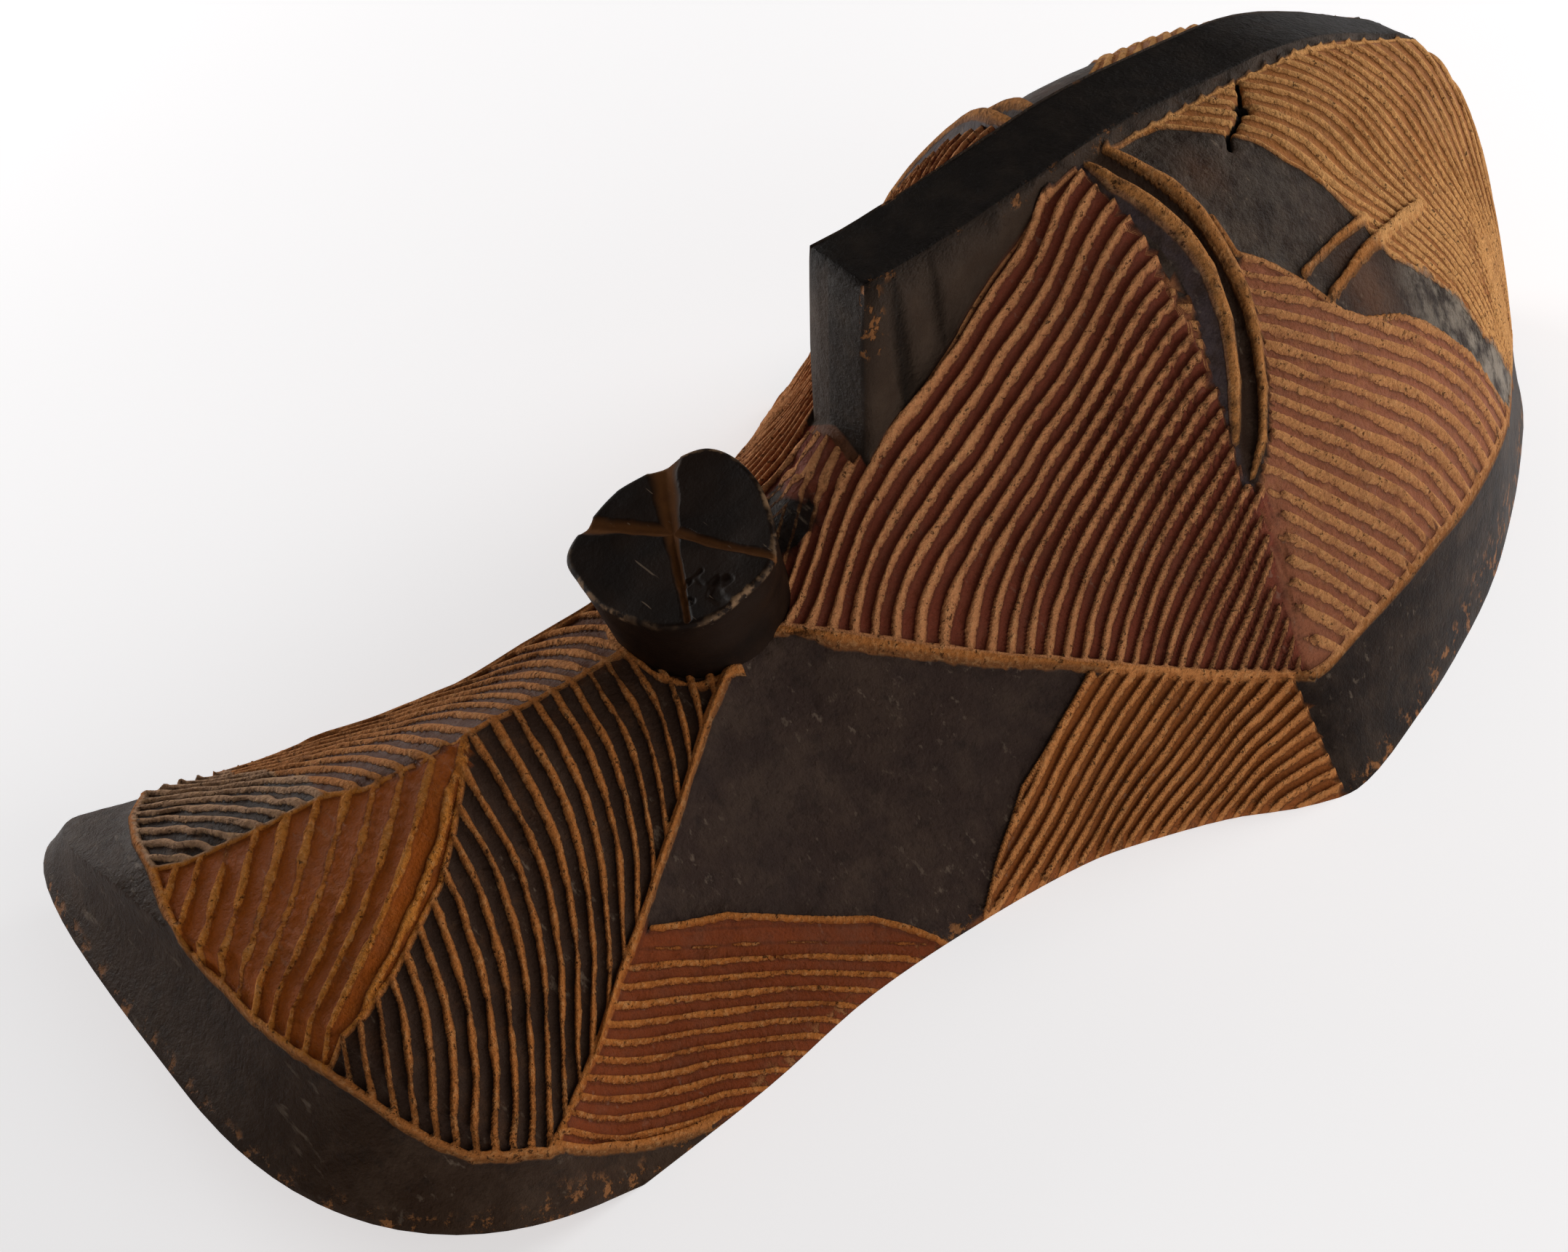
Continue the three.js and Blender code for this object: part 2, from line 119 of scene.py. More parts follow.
CHEEK_BAR = [
    (19, -53), (30, -42), (40, -28), (50, -13), (60, 2), (71, 17), (81, 32), (91, 48), (97.5, 56)]
JAW_LINE = [
    (19, -63), (25, -78), (34, -94), (42, -109), (50, -122), (55, -131), (63, -143), (69, -154), (76, -167)]
JAW_BACK = [(66, 8), (67, -3), (69, -18), (75, -33), (81, -44)]
JAW_FRONT = [(50, -118), (52, -108), (54, -100), (61, -84), (68, -68), (73, -61), (80, -53)]
CREST_LINE = [(12.2, -13), (12.2, 130), (10.2, 159), (8.3, 177), (6.7, 192)]
MIDRIB = [(0, -80), (0, -129)]
TRIANGLE_LEFT = [
    (1, -129), (8, -136), (16, -145), (23, -154), (28, -164), (33, -174), (37, -185), (38, -197)]
TRIANGLE_RIGHT = [
    (1, -129), (1.5, -137), (5, -145), (9, -153), (16, -160), (23, -177), (31, -193), (37, -199)]
CHIN_RIM_LEFT = [
    (0, -202.5), (14, -202), (27, -200), (38, -197), (47, -194), (55, -191), (62, -187), (68, -182),
    (72, -176), (76, -167), (77, -152), (80, -135), (81, -126)]
CHIN_RIM_RIGHT = [
    (0, -202.5), (15, -204), (26, -202), (37, -199), (50, -197), (63, -193), (74, -186), (80, -176),
    (81, -161), (80, -144), (81, -126)]
# The crack is on the left half only
CRACK = [(12.4, 113), (15.7, 110.5), (19, 107.4), (20.5, 105), (22, 102), (23.1, 98.3), (26, 96)]
CRACK_HOLE = (19, 107.5, 2.3)  # x, y, radius
LINES = (  # polyline, half width at its start and end, height
    (CHEEK_BAR, 2.7, 1.0, 1.6), (JAW_LINE, 1.5, 1.1, 1.5), (JAW_BACK, 0.9, 0.9, 1.1),
    (JAW_FRONT, 0.8, 0.9, 1.1), (BROW_FOOT, 0.9, 0.9, 0.6), (BROW_TOP, 0.8, 0.8, 0.5),
    (CREST_LINE, 0.6, 0.6, 0.5), (BROW_BARS[0], 1.6, 1.2, 1.4), (BROW_BARS[1], 2.0, 1.8, 1.6),
    (MIDRIB, 1.0, 1.0, 1.2))

# Number of the ridge at places along straight lines across each panel: {y: [(x, number)]}, or for
# the temple and the forehead {x: [(y, number)]}
CHEEK_RIDGES = {
    -45: [(9, -1.4), (16, 0.4), (24, 2), (32, 3)],
    -20: [(13, 2), (20, 3.6), (34, 6.6), (48, 8.4)],
    10: [(13, 1.9), (30, 6.5), (50, 12.2), (69, 16.3)],
    35: [(13, 1.8), (36, 7.9), (62, 16.7), (86, 24.3)],
    58: [(13, 2.9), (40, 8.8), (66, 17.4), (92, 28.5)]}
JAW_BACK_RIDGES = {
    -25: [(72, -1.1), (75, 0), (79, 1.6), (82, 2.9)],
    0: [(69, -0.3), (75, 1.9), (82, 4.9), (88, 8)],
    25: [(73, 1.6), (82, 5.2), (92, 9.8), (102, 15)],
    50: [(88, 7.8), (95, 10.3), (102, 13), (109, 15.7)]}
JAW_FRONT_RIDGES = {
    -150: [(64, 5.5), (71, 8), (78, 10.7)],
    -120: [(53, 0.1), (66, 4.3), (78, 8.6)],
    -90: [(59, -1.2), (68, 1.7), (77, 4.7)],
    -65: [(68, -1.7), (72, -0.5), (76, 0.7)]}
CHIN_RIDGES = {
    -190: [(41, -0.4), (50, 0.6), (58, 1.7), (67, 3.1)],
    -165: [(28, 3.7), (43, 4.7), (59, 6.6), (74, 9.2)],
    -140: [(11, 8), (29, 8.4), (47, 10.2), (65, 13.7)],
    -115: [(3, 12.1), (19, 12.5), (35, 13.9), (50, 16.5)],
    -90: [(5, 16.9), (15, 17.2), (25, 18), (35, 19.3)]}
TRIANGLE_RIDGES = {
    -195: [(-26, -0.3), (7, 3.6), (41, 8.9)],
    -170: [(-20, 2.9), (8, 5.9), (36, 10.2)],
    -145: [(-6, 6.7), (9, 8.5), (24, 10.4)]}
TEMPLE_RIDGES = {
    60: [(73, 13), (86, 15.3), (100, 17.3), (114, 19.1)],
    75: [(63, 6.5), (92, 11.6), (122, 14.9), (152, 17.8)],
    88: [(58, 1.5), (86, 6.7), (114, 10.9), (142, 14.3)],
    98: [(58, -1.3), (76, 1.9), (95, 5.5), (114, 9.1)]}
FOREHEAD_RIDGES = {
    12: [(112, 4.9), (133, 8.5), (155, 12.2), (177, 15.2)],
    28: [(101, -0.5), (127, 4.5), (152, 9.9), (178, 15.2)],
    45: [(114, -0.6), (135, 4), (157, 9.5), (178, 14.9)],
    62: [(133, -2.9), (148, 0.9), (162, 4.8), (176, 8.8)]}

# Panels: height of the ridges, the level of their wave, -1 to 1, below which is ground, how far the
# strokes are worn away, and the sRGB colours of the ground and of the ridges
PANELS = {
    "smooth": (0.0, 1.0, 0.0, (54, 40, 35), (180, 112, 56)),
    "band": (0.0, 1.0, 0.0, (52, 34, 20), (180, 112, 56)),
    # The rim's black is painted darker than the other black panels, as painted shade
    "rim": (0.0, 1.0, 0.0, (25, 15, 10), (156, 98, 50)),
    "brow": (0.0, 1.0, 0.0, (38, 26, 20), (172, 110, 56)),
    "cheek": (1.7, 0.12, 0.15, (134, 65, 45), (212, 144, 94)),
    "temple": (1.1, 0.05, 1.0, (162, 98, 68), (200, 138, 86)),
    "forehead": (0.9, 0.0, 1.0, (180, 114, 60), (220, 160, 98)),
    "chin": (1.4, 0.35, 0.2, (56, 38, 28), (186, 114, 56)),
    # The far chin's pale ridge colour is partly worn paint and partly a painted highlight
    "far_chin": (1.4, -0.1, 0.6, (44, 28, 19), (186, 146, 114)),
    "far_jaw": (1.3, 0.0, 0.6, (88, 48, 26), (190, 124, 70)),
    "triangle": (1.0, 0.55, 0.5, (172, 86, 22), (206, 130, 54)),
    "jaw_back": (1.3, 0.0, 0.3, (164, 92, 42), (214, 140, 80)),
    "jaw_front": (1.0, 0.4, 0.2, (128, 58, 22), (182, 110, 50)),
    "bridge": (0.3, 0.8, 0.5, (24, 16, 12), (96, 58, 32)),
    "lip": (0.0, 1.0, 0.6, (104, 62, 38), (140, 88, 52)),
    "wall": (0.0, 1.0, 0.0, (78, 66, 68), (186, 124, 68)),
    "slit": (0.0, 1.0, 0.0, (52, 35, 25), (186, 124, 68)),
}


def guide(pairs, y):
    """Smooth curve through (y, value) pairs: cubic pieces whose end slopes come from the neighbours."""
    p = np.asarray(pairs, float)
    y = np.clip(np.asarray(y, float), p[0, 0], p[-1, 0])
    last = len(p) - 1
    i = np.clip(np.searchsorted(p[:, 0], y, side="right") - 1, 0, last - 1)
    low = np.maximum(np.arange(last + 1) - 1, 0)
    high = np.minimum(np.arange(last + 1) + 1, last)
    slope = (p[high, 1] - p[low, 1]) / (p[high, 0] - p[low, 0])
    span = p[i + 1, 0] - p[i, 0]
    t = (y - p[i, 0]) / span
    rise = t * t * (3 - 2 * t)
    bend = slope[i] * t * (1 - t) ** 2 - slope[i + 1] * t * t * (1 - t)
    return p[i, 1] * (1 - rise) + p[i + 1, 1] * rise + span * bend


def step(x, low, high):
    """Smooth step from 0 at low to 1 at high."""
    t = np.clip((x - low) / (high - low), 0, 1)
    return t * t * (3 - 2 * t)


def half_width(y, right):
    """Half width of the outline; the right half swells towards its squarer chin corner."""
    return guide(HALF_WIDTH, y) + np.where(right, CHIN_FLARE * step(-y, 165, 205), 0)


def back_edge(y):
    """Height of the back edge: the chin's end arches up off the ground."""
    return LIFT_SLOPE * np.maximum(0, LIFT_START - y)


def from_chin_edge(x, y, right, width):
    """Distance in from the outline around the chin's end, whose corners are superellipses."""
    power = np.where(right, CHIN_SQUARE[1], CHIN_SQUARE[0])
    corner = np.where(right, CHIN_CORNER[1], CHIN_CORNER[0])
    u = np.abs(x) / width
    v = np.maximum(0, 1 - (y - CHIN_Y) / corner)
    s = np.maximum((u ** power + v ** power) ** (1 / power), 1e-6)
    steep = s ** (1 - power) * np.hypot(u ** (power - 1) / width, v ** (power - 1) / corner)
    return np.maximum(0, 1 - s) / np.maximum(steep, 1e-6)


def face_height(x, y):
    """Height of the carved face without the crest: front, sides and the chin's bevelled band."""
    right = x < 0
    far = np.abs(x)
    width = np.maximum(half_width(y, right), 0.5)
    crease = np.minimum(guide(CREASE_X, y) * width / guide(HALF_WIDTH, y), width * 0.985)
    low = back_edge(y)
    crease_z = np.maximum(guide(CREASE_Z, y), low + 0.5)
    mid = guide(MIDLINE, y)
    flat = guide(FLAT, y)
    out = np.maximum(0, (far - flat) / (crease - flat))
    front = mid + (crease_z - mid) * out ** guide(FULLNESS, y)
    span = np.maximum(crease - FILLET_X, 1)
    rest = np.clip((crease - np.maximum(far, FILLET_X)) / span, 0, 1)
    front = front + guide(FILLET, y) * rest ** FILLET_POWER
    side = crease_z + (low - crease_z) * np.minimum((far - crease) / (width - crease), 1)
    z = np.where(far <= crease, front, side)
    band = low + guide(BAND, y) * from_chin_edge(x, y, right, width)
    return np.where(y > BAND_END, z, np.minimum(z, band))


def crest_share(x, y):
    """1 on the crest and nose, 0 off them, falling over the narrow foot of their sides."""
    shaved = np.where(x < 0, NOSE_SHAVE * np.clip(1 - (y - NOSE_FOOT_Y) / 3, 0, 1) ** 2, 0)
    half = guide(CREST_HALF, y) - shaved
    side = (half + CREST_FOOT - np.abs(x)) / CREST_FOOT
    set_back = NOSE_BEVEL * np.maximum(0, -x - NOSE_CORNER)
    tip = (y - NOSE_FOOT_Y - set_back) / (NOSE_TIP_Y - NOSE_FOOT_Y)
    end = (CREST_END_Y - y) / CREST_END_RUN
    return np.clip(np.minimum(np.minimum(side, tip), end), 0, 1)


def outer_height(x, y):
    """Height of the outer surface: the face with the crest and the nose on it."""
    face = face_height(x, y)
    top = np.maximum(guide(CREST_TOP, y), face)
    return face + (top - face) * crest_share(x, y)


def polyline_distance(line, x, y, slope_x=0.0, slope_y=0.0):
    """Distance from each point to the nearest piece of a polyline, measured over the surface's slope,
    and how far along the line that is, 0 to 1."""
    p = np.asarray(line, float)
    lengths = np.hypot(*(p[1:] - p[:-1]).T)
    start = np.concatenate([[0], np.cumsum(lengths)])
    best = np.full(x.shape, 1e9)
    along = np.zeros(x.shape)
    for k in range(len(p) - 1):
        d = p[k + 1] - p[k]
        t = np.clip(((x - p[k, 0]) * d[0] + (y - p[k, 1]) * d[1]) / lengths[k] ** 2, 0, 1)
        dx = x - p[k, 0] - t * d[0]
        dy = y - p[k, 1] - t * d[1]
        rise = slope_x * dx + slope_y * dy
        away = np.sqrt(dx * dx + dy * dy + rise * rise)
        nearer = away < best
        best = np.where(nearer, away, best)
        along = np.where(nearer, start[k] + t * lengths[k], along)
    return best, along / start[-1]


class Place:
    """Places on the face in plan, with how far each is from the middle and the plain surface's slope."""

    def __init__(self, x, y):
        self.x = x
        self.y = y
        self.far = np.abs(x)
        self.left = x >= 0
        out = np.where(self.left, SLOPE_REACH, -SLOPE_REACH)
        rise_x = face_height(x + out, y) - face_height(x - out, y)
        rise_y = face_height(x, y + SLOPE_REACH) - face_height(x, y - SLOPE_REACH)
        self.slope_x = np.clip(rise_x / (2 * SLOPE_REACH), -STEEPEST, STEEPEST)
        self.slope_y = np.clip(rise_y / (2 * SLOPE_REACH), -STEEPEST, STEEPEST)
        self.crease = guide(CREASE_X, y) * half_width(y, x < 0) / guide(HALF_WIDTH, y)

    def to(self, line):
        """Distance to a polyline over the surface, and how far along the line, 0 to 1."""
        return polyline_distance(line, self.far, self.y, self.slope_x, self.slope_y)

    def across(self, line):
        """The line's y at this distance from the middle."""
        return np.interp(self.far, *zip(*line))

    def rough(self, size, seed):
        """Smooth noise from -1 to 1 at these places."""
        return roughness(self.x, self.y, size, seed)


def inside(outline, x, y):
    """True inside a closed outline: a ray from the point crosses it an odd number of times."""
    p = np.asarray(outline, float)
    odd = np.zeros(x.shape, bool)
    for a, b in zip(p, np.roll(p, -1, axis=0)):
        if a[1] == b[1]:
            continue
        spans = (a[1] > y) != (b[1] > y)
        odd ^= spans & (x < a[0] + (y - a[1]) * (b[0] - a[0]) / (b[1] - a[1]))
    return odd


def sloped_guide(pairs, x):
    """A guide that runs on straight beyond its ends."""
    p = np.asarray(pairs, float)
    first = (p[1, 1] - p[0, 1]) / (p[1, 0] - p[0, 0])
    last = (p[-1, 1] - p[-2, 1]) / (p[-1, 0] - p[-2, 0])
    return guide(p, x) + first * np.minimum(x - p[0, 0], 0) + last * np.maximum(x - p[-1, 0], 0)


def ridge_count(rows, u, v):
    """Ridge number at (u, v): guides along u on lines of equal v, joined by smooth curves along v."""
    keys = np.array(sorted(rows), float)
    values = np.stack([sloped_guide(rows[k], u) for k in sorted(rows)])
    last = len(keys) - 1
    i = np.clip(np.searchsorted(keys, v, side="right") - 1, 0, last - 1)
    low = np.maximum(np.arange(last + 1) - 1, 0)
    high = np.minimum(np.arange(last + 1) + 1, last)
    slopes = (values[high] - values[low]) / (keys[high] - keys[low])[:, None]
    at = np.arange(u.size)
    span = keys[i + 1] - keys[i]
    t = np.clip((v - keys[i]) / span, 0, 1)
    rise = t * t * (3 - 2 * t)
    curve = values[i, at] * (1 - rise) + values[i + 1, at] * rise
    curve += span * (slopes[i, at] * t * (1 - t) ** 2 - slopes[i + 1, at] * t * t * (1 - t))
    return curve + slopes[0] * np.minimum(v - keys[0], 0) + slopes[-1] * np.maximum(v - keys[-1], 0)


NOISE = np.random.default_rng(7).random((256, 256))


def roughness(x, y, size, seed=0):
    """Smooth noise from -1 to 1 whose bumps are about size wide: random heights joined by smooth steps."""
    u = x / size + 31.7 * seed + 500
    v = y / size + 17.3 * seed + 500
    i = np.floor(u).astype(int)
    j = np.floor(v).astype(int)
    s = (u - i) ** 2 * (3 - 2 * (u - i))
    t = (v - j) ** 2 * (3 - 2 * (v - j))
    corner = [NOISE[(i + a) % 256, (j + b) % 256] for a in (0, 1) for b in (0, 1)]
    row_a = corner[0] * (1 - t) + corner[1] * t
    row_b = corner[2] * (1 - t) + corner[3] * t
    return 2 * (row_a * (1 - s) + row_b * s) - 1


def panel_values(index, column):
    """Each place's value from one column of PANELS."""
    return np.array([row[column] for row in PANELS.values()])[index]


def on_panel(index, name):
    """True where the place belongs to the named panel."""
    return index == list(PANELS).index(name)


def chin_field(place):
    """Where the chin's carved field is, inside its rim line, and where the triangle at its end is."""
    far, y = place.far, place.y
    field = np.ones(far.shape, bool)
    triangle = np.zeros(far.shape, bool)
    for side, rim, edge in (
            (place.left, CHIN_RIM_LEFT, TRIANGLE_LEFT), (~place.left, CHIN_RIM_RIGHT, TRIANGLE_RIGHT)):
        field[side] = inside(rim + [(130, -126), (130, 0), (0, 0)], far[side], y[side])
        triangle[side] = inside(edge + [(37, -215), (-1, -215), (-1, -129)], far[side], y[side])
    return field, triangle & field


def eye_region(place):
    """True on the eye: from the lower lid's foot to just beyond the upper lid's middle line."""
    top = [(x + 1, y + 1.5) for x, y in UPPER_LID]
    return inside(LID_FOOT + [(73.5, 57.6)] + top[::-1], place.far, place.y)


def panel_index(place):
    """Index of the panel that each place belongs to, in the order of PANELS.

    Panels are painted one after the other, each over the ones before.
    """
    far, y = place.far, place.y
    index = np.zeros(far.shape, int)

    def paint(where, name):
        index[where] = list(PANELS).index(name)

    field, triangle = chin_field(place)
    front = far <= place.crease
    below_eye = np.where(far < 72, place.across(LID_FOOT), place.across(TEMPLE_FOOT))
    above_bar = (far < CHEEK_BAR[0][0]) | (y > place.across(CHEEK_BAR))
    paint((y > -58) & (y < below_eye) & above_bar & (far < 97.5), "cheek")
    under_nose = far < BRIDGE_HALF + 1.5 * place.rough(6, 20)
    paint(under_nose & (y > -16) & (y < 0), "lip")
    paint(under_nose & (y > -58) & (y < -28 + 3 * place.rough(7, 26)), "bridge")
    line = np.array(JAW_LINE[::-1])
    inner = far < np.interp(y, line[:, 1], line[:, 0])
    chin = (y <= -58) & inner & field
    paint((y < BAND_END) & ~field, "band")
    paint(chin, "chin")
    paint(chin & (place.x < 0), "far_jaw")
    paint(chin & (place.x < 0) & (y <= -160 + 6 * place.rough(11, 27)), "far_chin")
    paint(triangle, "triangle")
    jaw_back = JAW_BACK + [(130, -44), (130, 51), (115, 51), (105, 55)] + CHEEK_BAR[:4:-1]
    paint(inside(jaw_back, far, y), "jaw_back")
    jaw_front = JAW_FRONT + [(130, -53), (130, -175), (76, -170)] + JAW_LINE[:3:-1]
    paint(inside(jaw_front, far, y) & field, "jaw_front")
    paint(~front & (y > 52), "rim")
    paint(front & (y > place.across(TEMPLE_FOOT)) & (far > 40) & (y > 55), "temple")
    paint(front & (y > 60) & (far < 45), "brow")
    brow = BROW_FOOT + BROW_TOP[::-1] + [(12, 62), (30, 77)]
    paint(inside(brow, far, y) & front, "brow")
    forehead = BROW_TOP + [(52, 192), (38, 207), (24, 220), (0, 235), (0, 70)]
    paint(inside(forehead, far, y) & front, "forehead")
    eye = eye_region(place)
    low_lid = place.across(LOWER_LID)
    paint(eye & (y < low_lid), "wall")
    paint(eye & (y >= low_lid), "slit")
    paint(crest_share(place.x, y) > 0.5, "smooth")
    return index


def ridge_number(place, index):
    """Ridge number at every place, by its panel's guides; ridges wander a little."""
    far, x, y = place.far, place.x, place.y
    number = np.full(far.shape, 0.5)
    guides = {
        "cheek": (CHEEK_RIDGES, far, y), "bridge": (CHEEK_RIDGES, far, y),
        "lip": (CHEEK_RIDGES, far, y), "jaw_back": (JAW_BACK_RIDGES, far, y),
        "jaw_front": (JAW_FRONT_RIDGES, far, y), "chin": (CHIN_RIDGES, far, y),
        "far_chin": (CHIN_RIDGES, far, y), "far_jaw": (CHIN_RIDGES, far, y),
        "triangle": (TRIANGLE_RIDGES, x, y), "temple": (TEMPLE_RIDGES, y, far),
        "forehead": (FOREHEAD_RIDGES, y, far)}
    for name, (rows, u, v) in guides.items():
        here = on_panel(index, name)
        number[here] = ridge_count(rows, u[here], v[here])
    loose = 0.7 + 1.9 * on_panel(index, "far_chin")
    return number + (0.035 * place.rough(13, 1) + 0.06 * place.rough(5, 2)) * loose


def ridge_cut(place, index, number):
    """Height of the wave below which is ground: ridges vary in width, and taper off at some borders."""
    cut = panel_values(index, 1)
    worn = panel_values(index, 2)
    ends = place.to(TEMPLE_FOOT[1:])[0] + 1.5 * place.rough(4, 21)
    taper = step(ends, 5.5, 1.5) * on_panel(index, "temple")
    taper = np.maximum(taper, step(ends, 3, 0.5) * on_panel(index, "cheek"))
    taper = np.maximum(taper, step(number, 0.45, 0.2) * on_panel(index, "jaw_front"))
    varied = cut + (0.25 + 0.3 * worn) * place.rough(7, 22) + (0.2 + 0.15 * worn) * place.rough(2.6, 23)
    tapered = np.clip(varied + (NO_RIDGE - varied) * taper, -0.9, NO_RIDGE)
    return np.where(cut < 1, tapered, NO_RIDGE)


def line_share(place):
    """Raised border lines: their height, and each place's distance from them in half widths."""
    sides = [  # distance, half width, height, and the y below which the line stands
        (np.where(place.left, place.to(CHIN_RIM_LEFT)[0], place.to(CHIN_RIM_RIGHT)[0]), 1.3, 1.3, -126),
        (np.where(place.left, place.to(TRIANGLE_LEFT)[0], place.to(TRIANGLE_RIGHT)[0]), 0.8, 0.7, -129)]
    height = np.zeros(place.x.shape)
    near = np.full(place.x.shape, 9.0)
    shares = []
    for k, (line, first, last, top) in enumerate(LINES):
        away, along = place.to(line)
        half = (first + (last - first) * along) * (1 + 0.22 * place.rough(6, 30 + k))
        shares.append((away / half, top))
    for away, half, top, end in sides:
        shares.append((np.where(place.y < end, away / half, 9), top))
    # Along the crease round the head, and round the foot of the mouth
    border = np.abs(place.far - place.crease) / np.where(place.far < place.crease, 1.0, 0.4)
    shares.append((np.where(place.y > 54, border, 9), 0.6))
    from_mouth = np.hypot(place.x, place.y - MOUTH_PLACE[1] - 4.5)
    mouth_ring = np.abs(from_mouth - 23.4) / (1.3 + 1.1 * place.rough(4, 40))
    shares.append((np.where(place.y < MOUTH_PLACE[1], mouth_ring, 9), 0.9))
    for share, top in shares:
        height = np.maximum(height, top * np.sqrt(np.clip(1 - share ** 2, 0, 1)))
        near = np.minimum(near, share)
    return height, near


def lids(place):
    """The lids, the wall under the lower one and the slit between them: their height, each place's
    distance from the lids in half widths, and where the eye is."""
    low, low_t = place.to(LOWER_LID)
    up, up_t = place.to(UPPER_LID)
    foot, _ = place.to(LID_FOOT)
    low_swell = np.clip(4 * low_t * (1 - low_t), 0, 1) ** 0.4
    up_swell = np.clip(4 * up_t * (1 - up_t), 0, 1) ** 0.35
    low_half = (0.6 + 2.2 * low_swell) * (1 + 0.1 * place.rough(6, 41))
    up_half = (0.6 + 1.5 * up_swell) * (1 + 0.1 * place.rough(6, 42))
    low_top = 0.4 + 3.8 * low_swell
    lid = np.maximum(
        low_top * np.sqrt(np.clip(1 - (low / low_half) ** 2, 0, 1)),
        (0.3 + 2.4 * up_swell) * np.sqrt(np.clip(1 - (up / up_half) ** 2, 0, 1)))
    eye = eye_region(place)
    wall = eye & (place.y < place.across(LOWER_LID))
    ramp = 0.75 * low_top * foot / (foot + np.maximum(low - 0.7 * low_half, 0) + 0.01)
    gap = np.minimum(low - low_half, up - up_half)
    slit = np.where(eye & ~wall, 1.3 * step(gap, 0.2, 1.2) * low_swell, 0)
    height = np.maximum(lid, np.where(wall, ramp, 0)) - slit
    return height, np.minimum(low / low_half, up / up_half), eye


def crack_share(place):
    """Distance from the crack and its hole, in their half widths."""
    crack = polyline_distance(CRACK, place.x, place.y)[0] / 0.6
    hole = np.hypot(place.x - CRACK_HOLE[0], place.y - CRACK_HOLE[1]) / CRACK_HOLE[2]
    return np.minimum(crack, hole + 0.3 * place.rough(1.5, 43))


def carving(x, y):
    """The carving at each place: the relief's height in millimetres, and the fields its paint follows."""
    place = Place(x, y)
    index = panel_index(place)
    number = ridge_number(place, index)
    cut = ridge_cut(place, index, number)
    tops = panel_values(index, 0) * (1 + 0.2 * place.rough(7, 3))
    swell = np.clip((np.cos(2 * np.pi * number) - cut) / np.maximum(1 - cut, 0.05), 0, 1) ** 0.55
    lines, near = line_share(place)
    lid, lid_near, eye = lids(place)
    height = np.maximum(tops * swell, lines)
    height = np.where(eye, lid, np.maximum(height, lid))
    near = np.minimum(np.where(eye, 9, near), lid_near)
    crack = crack_share(place)
    height = height - 2.5 * np.clip(1.4 - crack, 0, 1)
    crest = crest_share(x, y)
    inside_edge = np.minimum(guide(CREST_HALF, y) - place.far, y - NOSE_TIP_Y)
    worn = 1 - np.clip(inside_edge / CREST_ROUND, 0, 1)
    rounding = CREST_ROUND * (1 - np.sqrt(1 - worn ** 2)) * (crest >= 1)
    height = height * (1 - step(crest, 0, 0.3)) - rounding
    height = height + 0.25 * place.rough(22, 4) + 0.07 * place.rough(3, 5)
    fields = {"index": index, "number": number, "cut": cut, "line": near, "crack": crack, "eye": eye}
    return height, fields


def hollow_height(x, y):
    """Height of the hollow: the top of a ball, with the wall's thickness as its radius, that rolls along
    under the face."""
    z = face_height(x, y) - WALL
    within = np.abs(x) < half_width(y, x < 0)
    for reach in (0.5, 0.8, 1.0):
        drop = WALL * np.sqrt(1 - reach * reach)
        for a in np.arange(12) * np.pi / 6:
            px = x + WALL * reach * np.cos(a)
            py = y + WALL * reach * np.sin(a)
            at = face_height(px, np.clip(py, CHIN_Y, HEAD_Y))
            out = (np.abs(px) > half_width(py, px < 0)) | (py < CHIN_Y) | (py > HEAD_Y)
            z = np.minimum(z, np.where(out, OUTSIDE, at) - drop)
    return np.where(within, z, OUTSIDE)


def bend(y, reach, right):
    """Rows across the mask bend towards the chin: y at a fraction of the way out to the outline."""
    power = CHIN_SQUARE[right]
    end = np.maximum(0, (BEND_END - y) / (BEND_END - CHIN_Y)) * CHIN_CORNER[right]
    return y + end * (1 - np.maximum(0, 1 - np.minimum(reach, 1) ** power) ** (1 / power))


def half_grid(rows, right):
    """x and y of one half's grid points, a row per entry of rows, columns from the middle out: over the
    crest, down its foot, across the front to the crease, and down the side to the outline."""
    end = bend(rows, 1.0, right)
    width = half_width(end, bool(right))
    narrow = np.minimum(1, width / 36)[:, None]
    half = guide(CREST_HALF, rows)[:, None]
    crest = half * narrow * np.array([0.0, 0.2, 0.4, 0.6, 0.75, 0.86, 0.91, 0.95, 0.98, 1.0])
    foot = (half + CREST_FOOT * np.linspace(0, 1, 15)[1:]) * narrow
    crease = guide(CREASE_X, rows)
    for _ in range(8):
        at = bend(rows, np.minimum(crease, width * 0.98) / width, right)
        crease = guide(CREASE_X, at) * half_width(at, bool(right)) / guide(HALF_WIDTH, at)
    start = foot[:, -1]
    crease = np.maximum(np.minimum(crease, width * 0.98), start * 1.2)
    front = start[:, None] + (crease - start)[:, None] * np.linspace(0, 1, FRONT_COLUMNS + 1)[1:]
    flank = crease[:, None] + (width - crease)[:, None] * np.linspace(0, 1, FLANK_COLUMNS + 1)[1:]
    x = np.concatenate([crest, foot, front, flank], 1)
    y = bend(rows[:, None], x / width[:, None], right)
    return (-x if right else x), y


def outer_grid():
    """x and y of the whole outer grid, right outline to left outline, chin to head."""
    t = np.linspace(0, 1, ROWS)
    rows = CHIN_Y + (HEAD_Y - CHIN_Y) * t
    nose = np.linspace(NOSE_FOOT_Y, NOSE_TIP_Y, 14)
    tip = HEAD_Y - np.array([0.15, 0.35, 0.6, 1.0])
    keep = (rows < NOSE_FOOT_Y - 0.3) | (rows > NOSE_TIP_Y + 0.3)
    rows = np.unique(np.concatenate([rows[keep], nose, tip]))
    xr, yr = half_grid(rows, 1)
    xl, yl = half_grid(rows, 0)
    return np.concatenate([xr[:, :0:-1], xl], 1), np.concatenate([yr[:, :0:-1], yl], 1)


